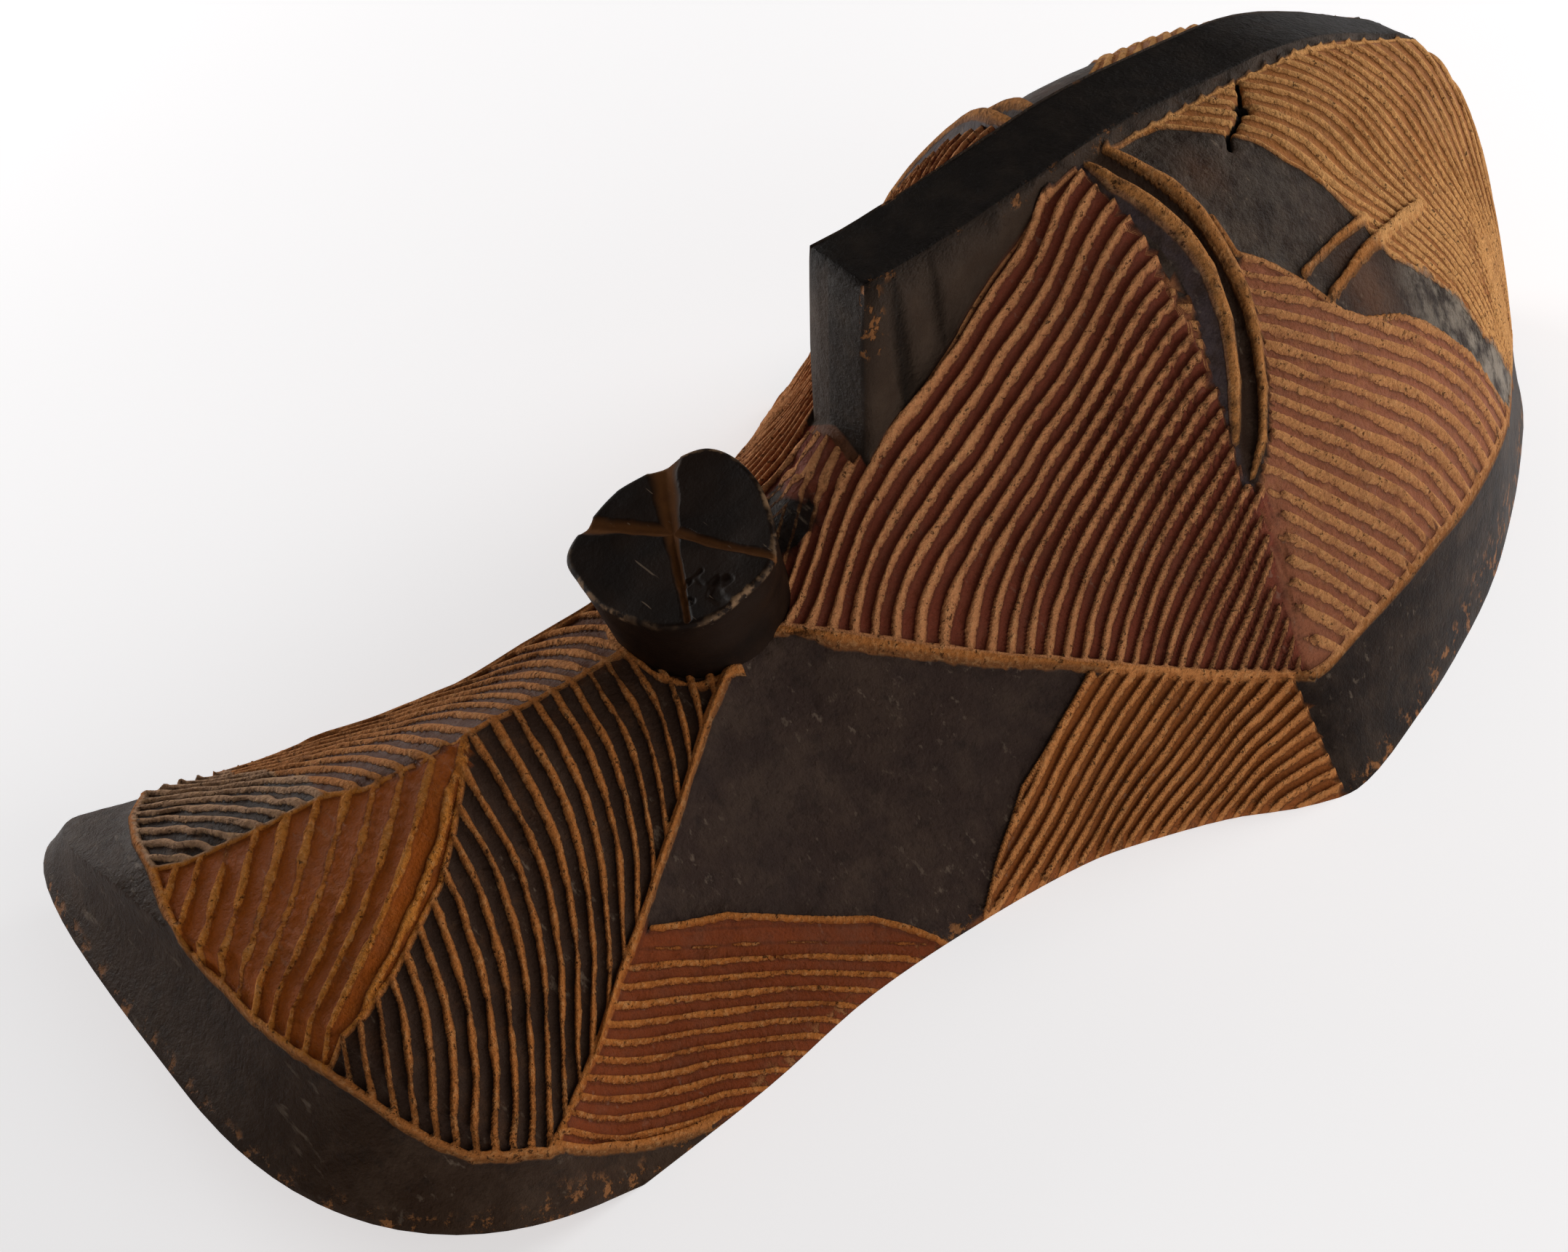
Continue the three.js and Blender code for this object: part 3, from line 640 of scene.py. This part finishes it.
def normals(x, y, z):
    """Unit normals of a grid surface from its row and column tangents."""
    p = np.stack([x, y, z], -1)
    n = np.cross(np.gradient(p, axis=1), np.gradient(p, axis=0))
    return n / np.maximum(np.linalg.norm(n, axis=-1, keepdims=True), 1e-9)


def perimeter(rows, columns):
    """Grid indices of the border, once round: chin row, left side, head row, right side."""
    index = np.arange(rows * columns).reshape(rows, columns)
    return np.concatenate([index[0, :-1], index[:-1, -1], index[-1, :0:-1], index[:0:-1, 0]])


def quads(rows, columns, start=0, closed=False):
    """Quad indices of a grid of points; closed joins the last column to the first."""
    index = start + np.arange(rows * columns).reshape(rows, columns)
    right = np.roll(index, -1, axis=1)
    if not closed:
        index, right = index[:, :-1], right[:, :-1]
    a, b, c, d = index[:-1], right[:-1], right[1:], index[1:]
    return np.stack([a, b, c, d], -1).reshape(-1, 4)


def make_piece(name, points, faces):
    """A smooth mesh object from arrays of points in millimetres and of quads or triangles."""
    mesh = bpy.data.meshes.new(name)
    mesh.vertices.add(len(points))
    mesh.vertices.foreach_set("co", (points * MM).ravel())
    triangles = np.concatenate([faces[:, [0, 1, 2]], faces[:, [0, 2, 3]]])
    whole = (triangles[:, 0] != triangles[:, 1]) & (triangles[:, 1] != triangles[:, 2])
    triangles = triangles[whole & (triangles[:, 0] != triangles[:, 2])]
    mesh.loops.add(triangles.size)
    mesh.loops.foreach_set("vertex_index", triangles.ravel())
    mesh.polygons.add(len(triangles))
    mesh.polygons.foreach_set("loop_start", np.arange(len(triangles)) * 3)
    mesh.polygons.foreach_set("use_smooth", np.ones(len(triangles), bool))
    mesh.update(calc_edges=True)
    mesh.validate()
    piece = bpy.data.objects.new(name, mesh)
    bpy.context.scene.collection.objects.link(piece)
    return piece


def simplify(piece, triangles):
    """Merges the piece's least needed edges until it has about this many triangles."""
    modifier = piece.modifiers.new("simplify", "DECIMATE")
    modifier.ratio = triangles / len(piece.data.polygons)
    bpy.context.view_layer.update()
    evaluated = piece.evaluated_get(bpy.context.evaluated_depsgraph_get())
    mesh = bpy.data.meshes.new_from_object(evaluated)
    piece.modifiers.clear()
    old = piece.data
    piece.data = mesh
    bpy.data.meshes.remove(old)


def underside(x, y):
    """Points of the rim and the hollow: rings from the outline in to a line under the middle.

    On each line from the outline inwards, the place where the hollow leaves the flat back edge is
    found by coarse steps and then by halving.
    """
    ring = perimeter(*x.shape)
    px = x.reshape(-1)[ring]
    py = y.reshape(-1)[ring]
    sx = np.zeros_like(px)
    sy = np.clip(py * SPINE_SHARE, SPINE_START, SPINE_END)
    chin = np.arange(len(ring)) < x.shape[1] - 1
    sy = np.where(chin, sy[0], sy)

    def hollow_at(share):
        at_x = px + (sx - px) * share
        at_y = py + (sy - py) * share
        return hollow_height(at_x, at_y) > back_edge(at_y)

    high = np.full(len(ring), 0.8)
    for share in np.linspace(0.8, 0.02, 40):
        high = np.where(hollow_at(share), share, high)
    low = high - 0.02
    for _ in range(12):
        middle = (low + high) / 2
        hollow = hollow_at(middle)
        high = np.where(hollow, middle, high)
        low = np.where(hollow, low, middle)
    flat = np.linspace(0, 1, 5)[1:, None] * high
    arched = high + (1 - high) * (np.linspace(0, 1, 44)[1:, None] ** 1.25)
    shares = np.concatenate([flat, arched])
    ux = px + (sx - px) * shares
    uy = py + (sy - py) * shares
    edge = back_edge(uy)
    uz = np.maximum(hollow_height(ux, uy), edge)
    uz[:len(flat)] = edge[:len(flat)]
    return ux, uy, uz


def body_piece():
    """The mask's body: the outer grid with its relief, the flat back edge and the hollow, closed."""
    x, y = outer_grid()
    z = np.maximum(outer_height(x, y), back_edge(y))
    edge = np.ones(x.shape, bool)
    edge[1:-1, 1:-1] = False
    z = np.where(edge, back_edge(y), z)
    upright = np.maximum(normals(x, y, z)[..., 2], 0.42)
    carved = carving(x.ravel(), y.ravel())[0].reshape(x.shape) / upright
    carved *= np.clip((z - back_edge(y)) / 1.5, 0, 1)
    z = z + carved
    outer = np.stack([x, y, z], -1).reshape(-1, 3)
    under = np.stack(underside(x, y), -1)
    inner = under.reshape(-1, 3)
    ring = perimeter(*x.shape)
    faces = [quads(*x.shape)]
    first = x.size + np.arange(len(ring))
    after = np.roll(np.arange(len(ring)), -1)
    faces.append(np.stack([ring, first, first[after], ring[after]], -1))
    faces.append(quads(*under.shape[:2], start=x.size, closed=True)[:, ::-1])
    return weld(np.concatenate([outer, inner]), np.concatenate(faces))


def weld(points, faces):
    """Merges points that share a place."""
    key = np.round(points, 3)
    _, first, back = np.unique(key, axis=0, return_index=True, return_inverse=True)
    return points[first], back.reshape(-1)[faces]


def linear(rgb):
    """sRGB colours of 0 to 255 as linear ones of 0 to 1."""
    c = np.asarray(rgb, float) / 255
    return np.where(c <= 0.04045, c / 12.92, ((c + 0.055) / 1.055) ** 2.4)


def vertex_places(mesh):
    """x, y and z of each vertex in millimetres, with y as it is in this file."""
    points = np.empty(len(mesh.vertices) * 3)
    mesh.vertices.foreach_get("co", points)
    x, y, z = points.reshape(-1, 3).T / MM
    return x, y + CENTRE_Y, z


def paint_body(piece):
    """Gives each vertex the fields that the paint follows and its panel's two colours."""
    mesh = piece.data
    x, y, z = vertex_places(mesh)
    _, fields = carving(x, y)
    index = fields["index"]
    width = half_width(y, x < 0)
    edge = np.where(y < BAND_END, from_chin_edge(x, y, x < 0, width), width - np.abs(x))
    back = (z < outer_height(x, y) - 4) | ((z < back_edge(y) + 0.3) & (edge > 0.6))

    def spot(at_x, at_y, spread):
        return np.exp(-((np.abs(x) - at_x) ** 2 + (y - at_y) ** 2) / spread)

    brow = on_panel(index, "brow")
    stain = spot(60, 113, 60) * brow
    # Greyer towards the head end: partly worn grey paint, partly a painted sheen
    grey_and_sheen = (0.14 + 0.86 * step(y, 112, 150)) * brow
    attributes = {
        "count": fields["number"], "line": np.minimum(fields["line"], 9), "cut": fields["cut"],
        "crack": np.minimum(fields["crack"], 9), "edge": edge, "grey_and_sheen": np.maximum(grey_and_sheen - stain, 0),
        "bare": back.astype(float), "stain": np.maximum(stain, 0.6 * spot(27, 84, 30)),
        "dirt": fields["eye"].astype(float), "worn": panel_values(index, 2),
        "ground": linear(panel_values(index, 3)), "top": linear(panel_values(index, 4))}
    for name, values in attributes.items():
        set_attribute(mesh, name, values)


def set_attribute(mesh, name, values):
    """Stores one number, or one colour, for each vertex."""
    if values.ndim == 1:
        layer = mesh.attributes.new(name, "FLOAT", "POINT")
        layer.data.foreach_set("value", values.astype(np.float32))
    else:
        layer = mesh.attributes.new(name, "FLOAT_COLOR", "POINT")
        with_alpha = np.concatenate([values, np.ones((len(values), 1))], 1)
        layer.data.foreach_set("color", with_alpha.astype(np.float32).ravel())


MOUTH_PLACE = (0.6, -64.4, 92.0)
MOUTH_TILT = 0.25  # radians
MOUTH_OUTLINE = [
    (-180, 24.6), (-158, 24.7), (-134, 27.6), (-115, 25.4), (-90, 24.4), (-66, 24), (-43, 25.8),
    (-20, 27), (0, 26.2), (20, 27), (48, 24.4), (65, 23.8), (89, 25), (122, 27.6), (144, 24.7),
    (162, 24), (180, 24.6)]
MOUTH_GROOVES = (  # polyline, half width at its start and end
    ([(-23.5, 15.5), (-18.5, 11.6), (-11.5, 6.4), (-3.5, 1.3), (6, -4.7), (18.6, -12), (21, -13.4)],
     4.4, 0.9),
    ([(-24.5, -13), (-15, -6.2), (-3.5, 1.3), (8.1, 5.5), (25, 12)], 2.9, 1.1))
MOUTH_FOOT = (-1.0, -2.0, 22.3)  # its middle and its radius
MOUTH_HEIGHT, MOUTH_DISH, MOUTH_CUT = 31.5, 1.2, 1.7
MOUTH_ROUNDING, MOUTH_FLARE = 1.4, 1.6
MOUTH_COLUMNS, FOOT_RINGS, SIDE_RINGS, FACE_RINGS = 300, 4, 40, 90


def groove_share(u, v):
    """Distance from the nearer groove's middle, in its half widths."""
    share = np.full(u.shape, 9.0)
    for line, first, last in MOUTH_GROOVES:
        away, along = polyline_distance(line, u, v)
        half = last + (first - last) * (1 - along) ** 1.7
        share = np.minimum(share, away / (half * (1 + 0.2 * roughness(u, v, 4, 6))))
    return share


def mouth_surface():
    """The mouth's points, ring by ring: u across its face, v up it and w out of it, in millimetres.

    Rings run from the middle of the foot out and up the side to the rim, whose outline is a guide of
    angle, and in over the dished face to its middle. The two grooves and some gouges are cut in it.
    """
    angle = np.linspace(-180, 180, MOUTH_COLUMNS + 1)[:-1]
    rim = guide(MOUTH_OUTLINE, angle)
    foot_u, foot_v, foot_radius = MOUTH_FOOT
    rings = []  # the middle's u and v, the radius, and w
    for share in np.linspace(0, 1, FOOT_RINGS + 1)[:-1]:
        rings.append((foot_u, foot_v, share * foot_radius + 0 * rim, -MOUTH_HEIGHT))
    for t in np.linspace(0, 1, SIDE_RINGS):
        flare = t ** MOUTH_FLARE
        radius = foot_radius * (1 - flare) + rim * flare
        level = t * (MOUTH_HEIGHT - MOUTH_ROUNDING) - MOUTH_HEIGHT
        rings.append((foot_u * (1 - t), foot_v * (1 - t), radius, level))
    for share in np.linspace(1, 0, FACE_RINGS)[:-1]:
        edge = np.clip((1 - share) * rim / MOUTH_ROUNDING, 0, 1)
        lift = MOUTH_ROUNDING * (np.sqrt(1 - (1 - edge) ** 2) - 1)
        rings.append((0, 0, share * rim, lift - MOUTH_DISH * (1 - share ** 2)))
    u = np.stack([middle + radius * np.cos(np.radians(angle)) for middle, _, radius, _ in rings])
    v = np.stack([middle + radius * np.sin(np.radians(angle)) for _, middle, radius, _ in rings])
    w = np.stack([level + 0 * rim for _, _, _, level in rings])
    on_face = np.arange(len(u))[:, None] >= FOOT_RINGS + SIDE_RINGS - 1
    cut = MOUTH_CUT * np.clip(1 - groove_share(u, v), 0, 1) ** 0.7
    gouges = 0.8 * step(roughness(u, v, 2.6, 9), 0.1, 0.5) * step(np.hypot(u - 17, v + 3), 9, 5)
    w = w + np.where(on_face, 0.3 * roughness(u, v, 9, 7) - cut - gouges, 0)
    bulge = 1 + 0.012 * roughness(angle[None, :] / 6 + 0 * w, w, 6, 8)
    return u * bulge, v * bulge, w


def mouth_piece():
    """The mouth: a closed cup tilted towards the chin, with the fields that its paint follows."""
    u, v, w = mouth_surface()
    tilt_c = np.cos(MOUTH_TILT)
    tilt_s = np.sin(MOUTH_TILT)
    x = MOUTH_PLACE[0] + u
    y = MOUTH_PLACE[1] + v * tilt_c - w * tilt_s
    z = MOUTH_PLACE[2] + v * tilt_s + w * tilt_c
    points = np.stack([x, y - CENTRE_Y, z], -1).reshape(-1, 3)
    last = np.full(MOUTH_COLUMNS, len(points))
    index = len(points) - MOUTH_COLUMNS + np.arange(MOUTH_COLUMNS)
    cap = np.stack([index, np.roll(index, -1), last, last], -1)
    points = np.concatenate([points, [points[-MOUTH_COLUMNS:].mean(0)]])
    points, faces = weld(points, np.concatenate([quads(*u.shape, closed=True), cap]))
    piece = make_piece("mouth", points, faces)
    x, y, z = vertex_places(piece.data)
    up = y - MOUTH_PLACE[1]
    out = z - MOUTH_PLACE[2]
    u = x - MOUTH_PLACE[0]
    v = up * tilt_c + out * tilt_s
    w = out * tilt_c - up * tilt_s
    rim = guide(MOUTH_OUTLINE, np.degrees(np.arctan2(v, u)))
    set_attribute(piece.data, "groove", np.where(w > -6, groove_share(u, v), 9))
    set_attribute(piece.data, "rim", np.hypot(u, v) / rim)
    set_attribute(piece.data, "level", w)
    return piece


class Value:
    """A socket of a material that takes part in Python expressions; each adds its Math nodes."""

    def __init__(self, shader, socket):
        self.shader = shader
        self.socket = socket

    def math(self, operation, *others):
        values = dict(enumerate((self,) + others))
        return self.shader.node("ShaderNodeMath", {"operation": operation}, values)

    def __add__(self, other):
        return self.math("ADD", other)

    def __radd__(self, other):
        return self.math("ADD", other)

    def __sub__(self, other):
        return self.math("SUBTRACT", other)

    def __rsub__(self, other):
        return (self * -1.0).math("ADD", other)

    def __mul__(self, other):
        return self.math("MULTIPLY", other)

    def __rmul__(self, other):
        return self.math("MULTIPLY", other)

    def cos(self):
        return self.math("COSINE")

    def absolute(self):
        return self.math("ABSOLUTE")

    def clamp_between(self, low, high):
        return self.math("MAXIMUM", low).math("MINIMUM", high)

    def max(self, other):
        return self.math("MAXIMUM", other)

    def rise(self, low, high):
        """0 below low, 1 above high, smooth between; falls instead where low is above high."""
        settings = {"interpolation_type": "SMOOTHSTEP"}
        values = {"Value": self, "From Min": low, "From Max": high, "To Min": 0.0, "To Max": 1.0}
        return self.shader.node("ShaderNodeMapRange", settings, values)


class Shader:
    """A material under construction: its Principled shader and the nodes that feed it."""

    def __init__(self, name):
        self.material = bpy.data.materials.new(name)
        self.material.use_nodes = True
        self.tree = self.material.node_tree
        self.surface = self.tree.nodes["Principled BSDF"]
        self.place = self.node("ShaderNodeTexCoord", {}, {}, "Object")

    def node(self, kind, settings, values, output=0):
        """Adds a node: its settings first, then the values or links of its sockets."""
        made = self.tree.nodes.new(kind)
        for key, value in settings.items():
            setattr(made, key, value)
        for key, value in values.items():
            if isinstance(value, Value):
                self.tree.links.new(value.socket, made.inputs[key])
            else:
                made.inputs[key].default_value = value
        return Value(self, made.outputs[output])

    def axes(self):
        """x, y and z of the place in millimetres."""
        place = self.node("ShaderNodeSeparateXYZ", {}, {"Vector": self.place})
        outputs = place.socket.node.outputs
        return [Value(self, outputs[k]) * 1000.0 for k in range(3)]

    def attribute(self, name, output="Fac"):
        return self.node("ShaderNodeAttribute", {"attribute_name": name}, {}, output)

    def noise(self, size, detail, rough, where=None):
        """Noise from 0 to 1 whose marks are about size millimetres wide."""
        values = {
            "Vector": where or self.place, "Scale": 1000 / size, "Detail": detail, "Roughness": rough}
        return self.node("ShaderNodeTexNoise", {}, values)

    def stretched(self, along, across, up):
        """Object coordinates divided by these factors, for marks that run one way."""
        values = {"Vector": self.place, "Scale": (1 / along, 1 / across, 1 / up)}
        return self.node("ShaderNodeMapping", {}, values)

    def mix(self, factor, a, b):
        """Colour b over colour a by factor."""
        return self.node("ShaderNodeMix", {"data_type": "RGBA"}, {0: factor, 6: a, 7: b}, 2)

    def set(self, name, value):
        """Links a value to a socket of the Principled shader, or sets it there."""
        if isinstance(value, Value):
            self.tree.links.new(value.socket, self.surface.inputs[name])
        else:
            self.surface.inputs[name].default_value = value

    def bump(self, height, distance, strength):
        """Bumps from a height of 0 to 1 that stands for this many millimetres."""
        values = {"Height": height, "Distance": distance * MM, "Strength": strength}
        self.set("Normal", self.node("ShaderNodeBump", {}, values))


# sRGB colours of what lies on the wood, of painted shade and painted sheen, and of the bare wood
PAINTS = {
    "dust": (112, 90, 74), "foot_shade": (34, 20, 14), "shade": (58, 34, 20), "rubbed": (222, 176, 116),
    "speckles": (40, 22, 12), "pits": (56, 33, 20), "flecks": (236, 186, 128), "grit": (44, 26, 16),
    "soot": (52, 34, 24), "greyed_and_sheen": (140, 128, 114), "stain": (92, 58, 36), "smoke": (92, 74, 60),
    "ash": (18, 11, 7), "scuffs": (160, 140, 120), "crest_side": (58, 44, 34), "shaded_nose_end": (40, 30, 23),
    "crest_top_shade": (18, 10, 6), "crest_wear": (92, 76, 62), "chips": (150, 98, 56), "split": (16, 10, 8),
    "raw_dark": (96, 62, 38), "raw_light": (134, 92, 58), "raw_stain": (56, 38, 27),
    "mouth_dark": (21, 12, 7), "mouth_light": (36, 23, 15), "groove_dark": (84, 50, 26),
    "groove_light": (132, 84, 44), "rim_wear": (150, 118, 88), "scratches": (150, 128, 108)}


def paint(name):
    """A named paint as a shader's colour."""
    return tuple(linear(PAINTS[name])) + (1.0,)


def carved_wood():
    """Ochre ridges over painted ground, and black paint: pits, dirt, rubbed edges, chips, bare wood and
    painted shade.

    A ridge's paint follows the same wave as its height; the lines, the crack and the crest have their
    own fields. The crest is all that lies within its half width of the middle.
    """
    wood = Shader("carved_wood")
    names = ("count", "line", "cut", "crack", "edge", "grey_and_sheen", "bare", "stain", "dirt", "worn")
    count, line, cut, crack, edge, grey_and_sheen, bare, stain, dirt, worn = map(wood.attribute, names)
    ground = wood.attribute("ground", "Color")
    top = wood.attribute("top", "Color")
    x, y, z = wood.axes()
    fine = wood.noise(0.7, 4, 0.7)
    grit = wood.noise(1.5, 3, 0.6)
    small = wood.noise(3, 4, 0.65)
    broad = wood.noise(26, 3, 0.5)
    half = 11.9 - (y - 125.0).clamp_between(0.0, 75.0) * 0.088
    crest = (half - x.absolute()).rise(-0.15, 0.25) * y.rise(-18.6, -18.0) * y.rise(203.0, 200.0)

    # Ridges and border lines over the ground, with painted shade: the ground darkest at their feet, the
    # ridges' sides darker than their crowns
    ragged = (small - 0.5) * 0.35 + (fine - 0.5) * 0.5 + (grit - 0.5) * 0.3
    above = (count * (2 * np.pi)).cos() - cut + ragged
    on_line = (line + ragged * 0.35).rise(1.08, 0.9)
    smear = wood.noise(7, 5, 0.7).rise(0.5, 0.68) * worn * 0.8
    stripe = above.rise(-0.06, 0.14)
    stripe = stripe + (0.55 - stripe) * smear * (1 - cut.rise(1.0, 1.1))
    ridge = stripe.max(on_line) * (1 - crest)
    black = wood.noise(9, 5, 0.65).rise(0.42, 0.75)
    low = wood.mix(black * 0.16, ground, paint("dust"))
    # Painted shade: the ground darkens towards the feet of the ridges and the border lines
    low = wood.mix(above.rise(-0.55, -0.08).max(line.rise(2.0, 1.1)) * 0.28, low, paint("foot_shade"))
    # Painted light and shade: ridge sides get a darker mix of top and ground, the crowns the full top
    # colour
    lit_crown = above.rise(0.05, 0.7).max((line + ragged * 0.3).rise(0.85, 0.45))
    tone = wood.mix(ridge, low, wood.mix(lit_crown, wood.mix(0.55, top, ground), top))

    # What wear, dirt and smoke have left, and a painted sheen on the brow, each over the ones before
    pits = wood.noise(1.1, 2, 0.5).rise(0.6, 0.7) * wood.noise(5, 4, 0.7).rise(0.46, 0.6)
    streak = wood.noise(5, 5, 0.7, wood.stretched(1, 1, 3))
    scuff = wood.noise(1.4, 3, 0.6, wood.stretched(7, 1.5, 2)).rise(0.6, 0.72) * broad.rise(0.42, 0.6)
    plain = (1 - ridge) * cut.rise(1.0, 1.1)
    layers = (
        ("shade", broad.rise(0.3, 0.72) * 0.135),
        ("rubbed", wood.noise(5, 5, 0.7).rise(0.55, 0.72) * ridge * 0.2),
        ("speckles", fine.rise(0.62, 0.3) * 0.2),
        ("pits", pits * ridge * 0.7),
        ("flecks", grit.rise(0.5, 0.68) * ridge * 0.175),
        ("grit", grit.rise(0.46, 0.3) * 0.125),
        ("soot", wood.noise(4.5, 5, 0.7).rise(0.44, 0.68) * dirt * 0.65),
        # The brow's grey is partly worn paint and partly a painted sheen
        ("greyed_and_sheen", grey_and_sheen * streak.rise(0.35, 0.62)),
        ("stain", stain * (small * 0.5 + 0.6) * (1 - ridge)),
        ("smoke", wood.noise(12, 6, 0.7).rise(0.42, 0.68) * plain * 0.25),
        ("ash", wood.noise(5, 6, 0.75).rise(0.5, 0.34) * plain * 0.36),
        ("scuffs", scuff * (1 - ridge) * 0.25))
    for name, share in layers:
        tone = wood.mix(share, tone, paint(name))

    # The black crest and nose, and the chips along them and along the band's edge. The crest's top and the
    # near part of the nose's end are painted darker than the crest's sides as painted shade
    edge_wear = wood.noise(4.5, 5, 0.7)
    crest_edge = (x.absolute() - half + 1.2).absolute().rise(1.5, 0.2) * edge_wear.rise(0.57, 0.63)
    band_edge = (edge + (small - 0.5) * 3.5).rise(3.6, 1.0) * edge_wear.rise(0.53, 0.6) * (1 - ridge)
    near_tip = z.rise(119.0, 122.0) * (x - 10.6).absolute().rise(2.2, 1.2) * (y + 12.0).rise(4.0, 1.0)
    along_top = crest_edge * z.rise(137.5, 139.5) * y.rise(85.0, 60.0)
    chips = (along_top.max(near_tip * small.rise(0.54, 0.6)) * crest).max(band_edge)
    # Painted shade: the crest's top gets a darker black than its sides
    shaded_top = (half - 1.5 - x.absolute()).rise(-0.2, 0.5) * y.rise(-15.0, -13.0)
    # Painted shade: the nose's end is darker on its near part than beyond its corner
    shaded_nose_end = y.rise(-13.0, -14.5) * x.rise(-3.2, -2.0) * x.rise(11.0, 9.5)
    ink = wood.mix(shaded_nose_end, paint("crest_side"), paint("shaded_nose_end"))
    ink = wood.mix(shaded_top, ink, paint("crest_top_shade"))
    ink = wood.mix(black * (0.25 - shaded_top * 0.15), ink, paint("crest_wear"))
    tone = wood.mix(crest, tone, ink)
    tone = wood.mix(chips * 0.85, tone, paint("chips"))
    tone = wood.mix(crack.rise(1.15, 0.8), tone, paint("split"))

    grain = wood.noise(2.2, 4, 0.6, wood.stretched(1, 9, 1))
    raw = wood.mix(grain.rise(0.3, 0.7), paint("raw_dark"), paint("raw_light"))
    raw = wood.mix(wood.noise(24, 4, 0.6).rise(0.4, 0.65) * 0.6, raw, paint("raw_stain"))
    wood.set("Base Color", wood.mix(bare, tone, raw))
    wood.set("Roughness", 0.52 + ridge * 0.3 + (small - 0.5) * 0.25)
    wood.set("Specular IOR Level", 0.1)
    rough = fine * 0.35 + small * 0.5 + grit * (0.25 + ridge * 0.8) + grain * 0.15
    wood.bump(rough - pits * ridge - chips * 0.4, 0.95, 1.0)
    return wood.material


def dark_wood():
    """The mouth's blackened wood: worn pale at the rim, brown in the grooves, with knife scratches."""
    wood = Shader("dark_wood")
    groove, rim, level = map(wood.attribute, ("groove", "rim", "level"))
    fine = wood.noise(0.8, 4, 0.65)
    small = wood.noise(3.5, 4, 0.6)
    broad = wood.noise(15, 3, 0.5)
    black = wood.mix(broad.rise(0.3, 0.7), paint("mouth_dark"), paint("mouth_light"))
    brown = wood.mix(small, paint("groove_dark"), paint("groove_light"))
    face = level.rise(-4.0, -2.5)
    in_groove = (groove + (small - 0.5) * 0.5).rise(1.15, 0.35) * face
    tone = wood.mix(in_groove * 0.8, black, brown)
    worn = (rim + (small - 0.5) * 0.12).rise(0.945, 0.985) * level.rise(-2.6, -1.0) * broad.rise(0.42, 0.55)
    tone = wood.mix(worn * small.rise(0.4, 0.55) * 0.75, tone, paint("rim_wear"))
    scratch = wood.noise(1.1, 2, 0.5, wood.stretched(14, 1, 1)).rise(0.69, 0.74)
    tone = wood.mix(scratch * face * 0.4, tone, paint("scratches"))
    wood.set("Base Color", tone)
    wood.set("Roughness", 0.4 + small * 0.25 + in_groove * 0.3)
    wood.set("Specular IOR Level", 0.08)
    wood.bump(fine * 0.4 + small * 0.6, 0.3, 0.8)
    return wood.material


def placed(x, y, z, place):
    """The matrix of an object at this place whose axes point these ways."""
    return Matrix([(x[k], y[k], z[k], place[k]) for k in range(3)] + [(0, 0, 0, 1)])


points, faces = body_piece()
points[:, 1] -= CENTRE_Y
body = make_piece("mask_body", points, faces)
simplify(body, BODY_TRIANGLES)
paint_body(body)
body.data.materials.append(carved_wood())
mouth = mouth_piece()
mouth.data.materials.append(dark_wood())
for piece in (body, mouth):
    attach(piece, "root")
    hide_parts("mask")

AIM = (0, 0, 0.05)  # the lights' aim, in metres

# The photo's own view, found from the mask's outline and symmetry
scene = bpy.context.scene
camera_data = bpy.data.cameras.new("camera")
camera = bpy.data.objects.new("camera", camera_data)
scene.collection.objects.link(camera)
right = np.array((0.63312098, 0.76852027, -0.09238197))
down = np.array((0.50201861, -0.49852492, -0.70671792))
forward = np.array((-0.58918176, 0.40106047, -0.70143806))
eye = (0.345603, -0.271439 - CENTRE_Y * MM, 0.453762)
camera.matrix_world = placed(right, -down, -forward, eye)
camera_data.lens = 52.326
camera_data.sensor_width = 36
camera_data.clip_start = 0.01
camera_data.dof.use_dof = False
scene.camera = camera


def area_light(name, place, size, power, tint):
    """A square soft light at place, aimed at the mask's middle."""
    data = bpy.data.lights.new(name, "AREA")
    data.size = size
    data.energy = power
    data.color = tint
    lamp = bpy.data.objects.new(name, data)
    scene.collection.objects.link(lamp)
    z = np.array(place) - AIM
    z /= np.linalg.norm(z)
    x = np.cross((0, 0, 1), z)
    x /= np.linalg.norm(x)
    lamp.matrix_world = placed(x, np.cross(z, x), z, place)


area_light("head", (0.3, 1.15, 0.5), 0.7, 8.5, (1.0, 0.98, 0.95))
area_light("near", (1.2, 0.2, 0.5), 0.9, 4.4, (1.0, 0.98, 0.95))
area_light("far", (-1.1, -0.35, 0.3), 0.6, 7.5, (1.0, 0.99, 0.97))

floor_mesh = bpy.data.meshes.new("floor")
floor_mesh.from_pydata([(-6, -6, 0), (6, -6, 0), (6, 6, 0), (-6, 6, 0)], [], [(0, 1, 2, 3)])
floor = bpy.data.objects.new("floor", floor_mesh)
scene.collection.objects.link(floor)
floor_paint = bpy.data.materials.new("floor")
floor_paint.use_nodes = True
floor_surface = floor_paint.node_tree.nodes["Principled BSDF"]
floor_surface.inputs["Base Color"].default_value = (0.7, 0.7, 0.72, 1)
floor_surface.inputs["Roughness"].default_value = 0.9
floor_surface.inputs["Specular IOR Level"].default_value = 0.0
floor_surface.inputs["Emission Color"].default_value = (0.985, 0.975, 0.98, 1)
floor_surface.inputs["Emission Strength"].default_value = 0.57
floor_mesh.materials.append(floor_paint)

world = bpy.data.worlds.new("world")
scene.world = world
world.use_nodes = True
world.node_tree.nodes["Background"].inputs["Color"].default_value = (1.0, 0.98, 0.95, 1)
world.node_tree.nodes["Background"].inputs["Strength"].default_value = 0.13
scene.view_settings.view_transform = "Standard"
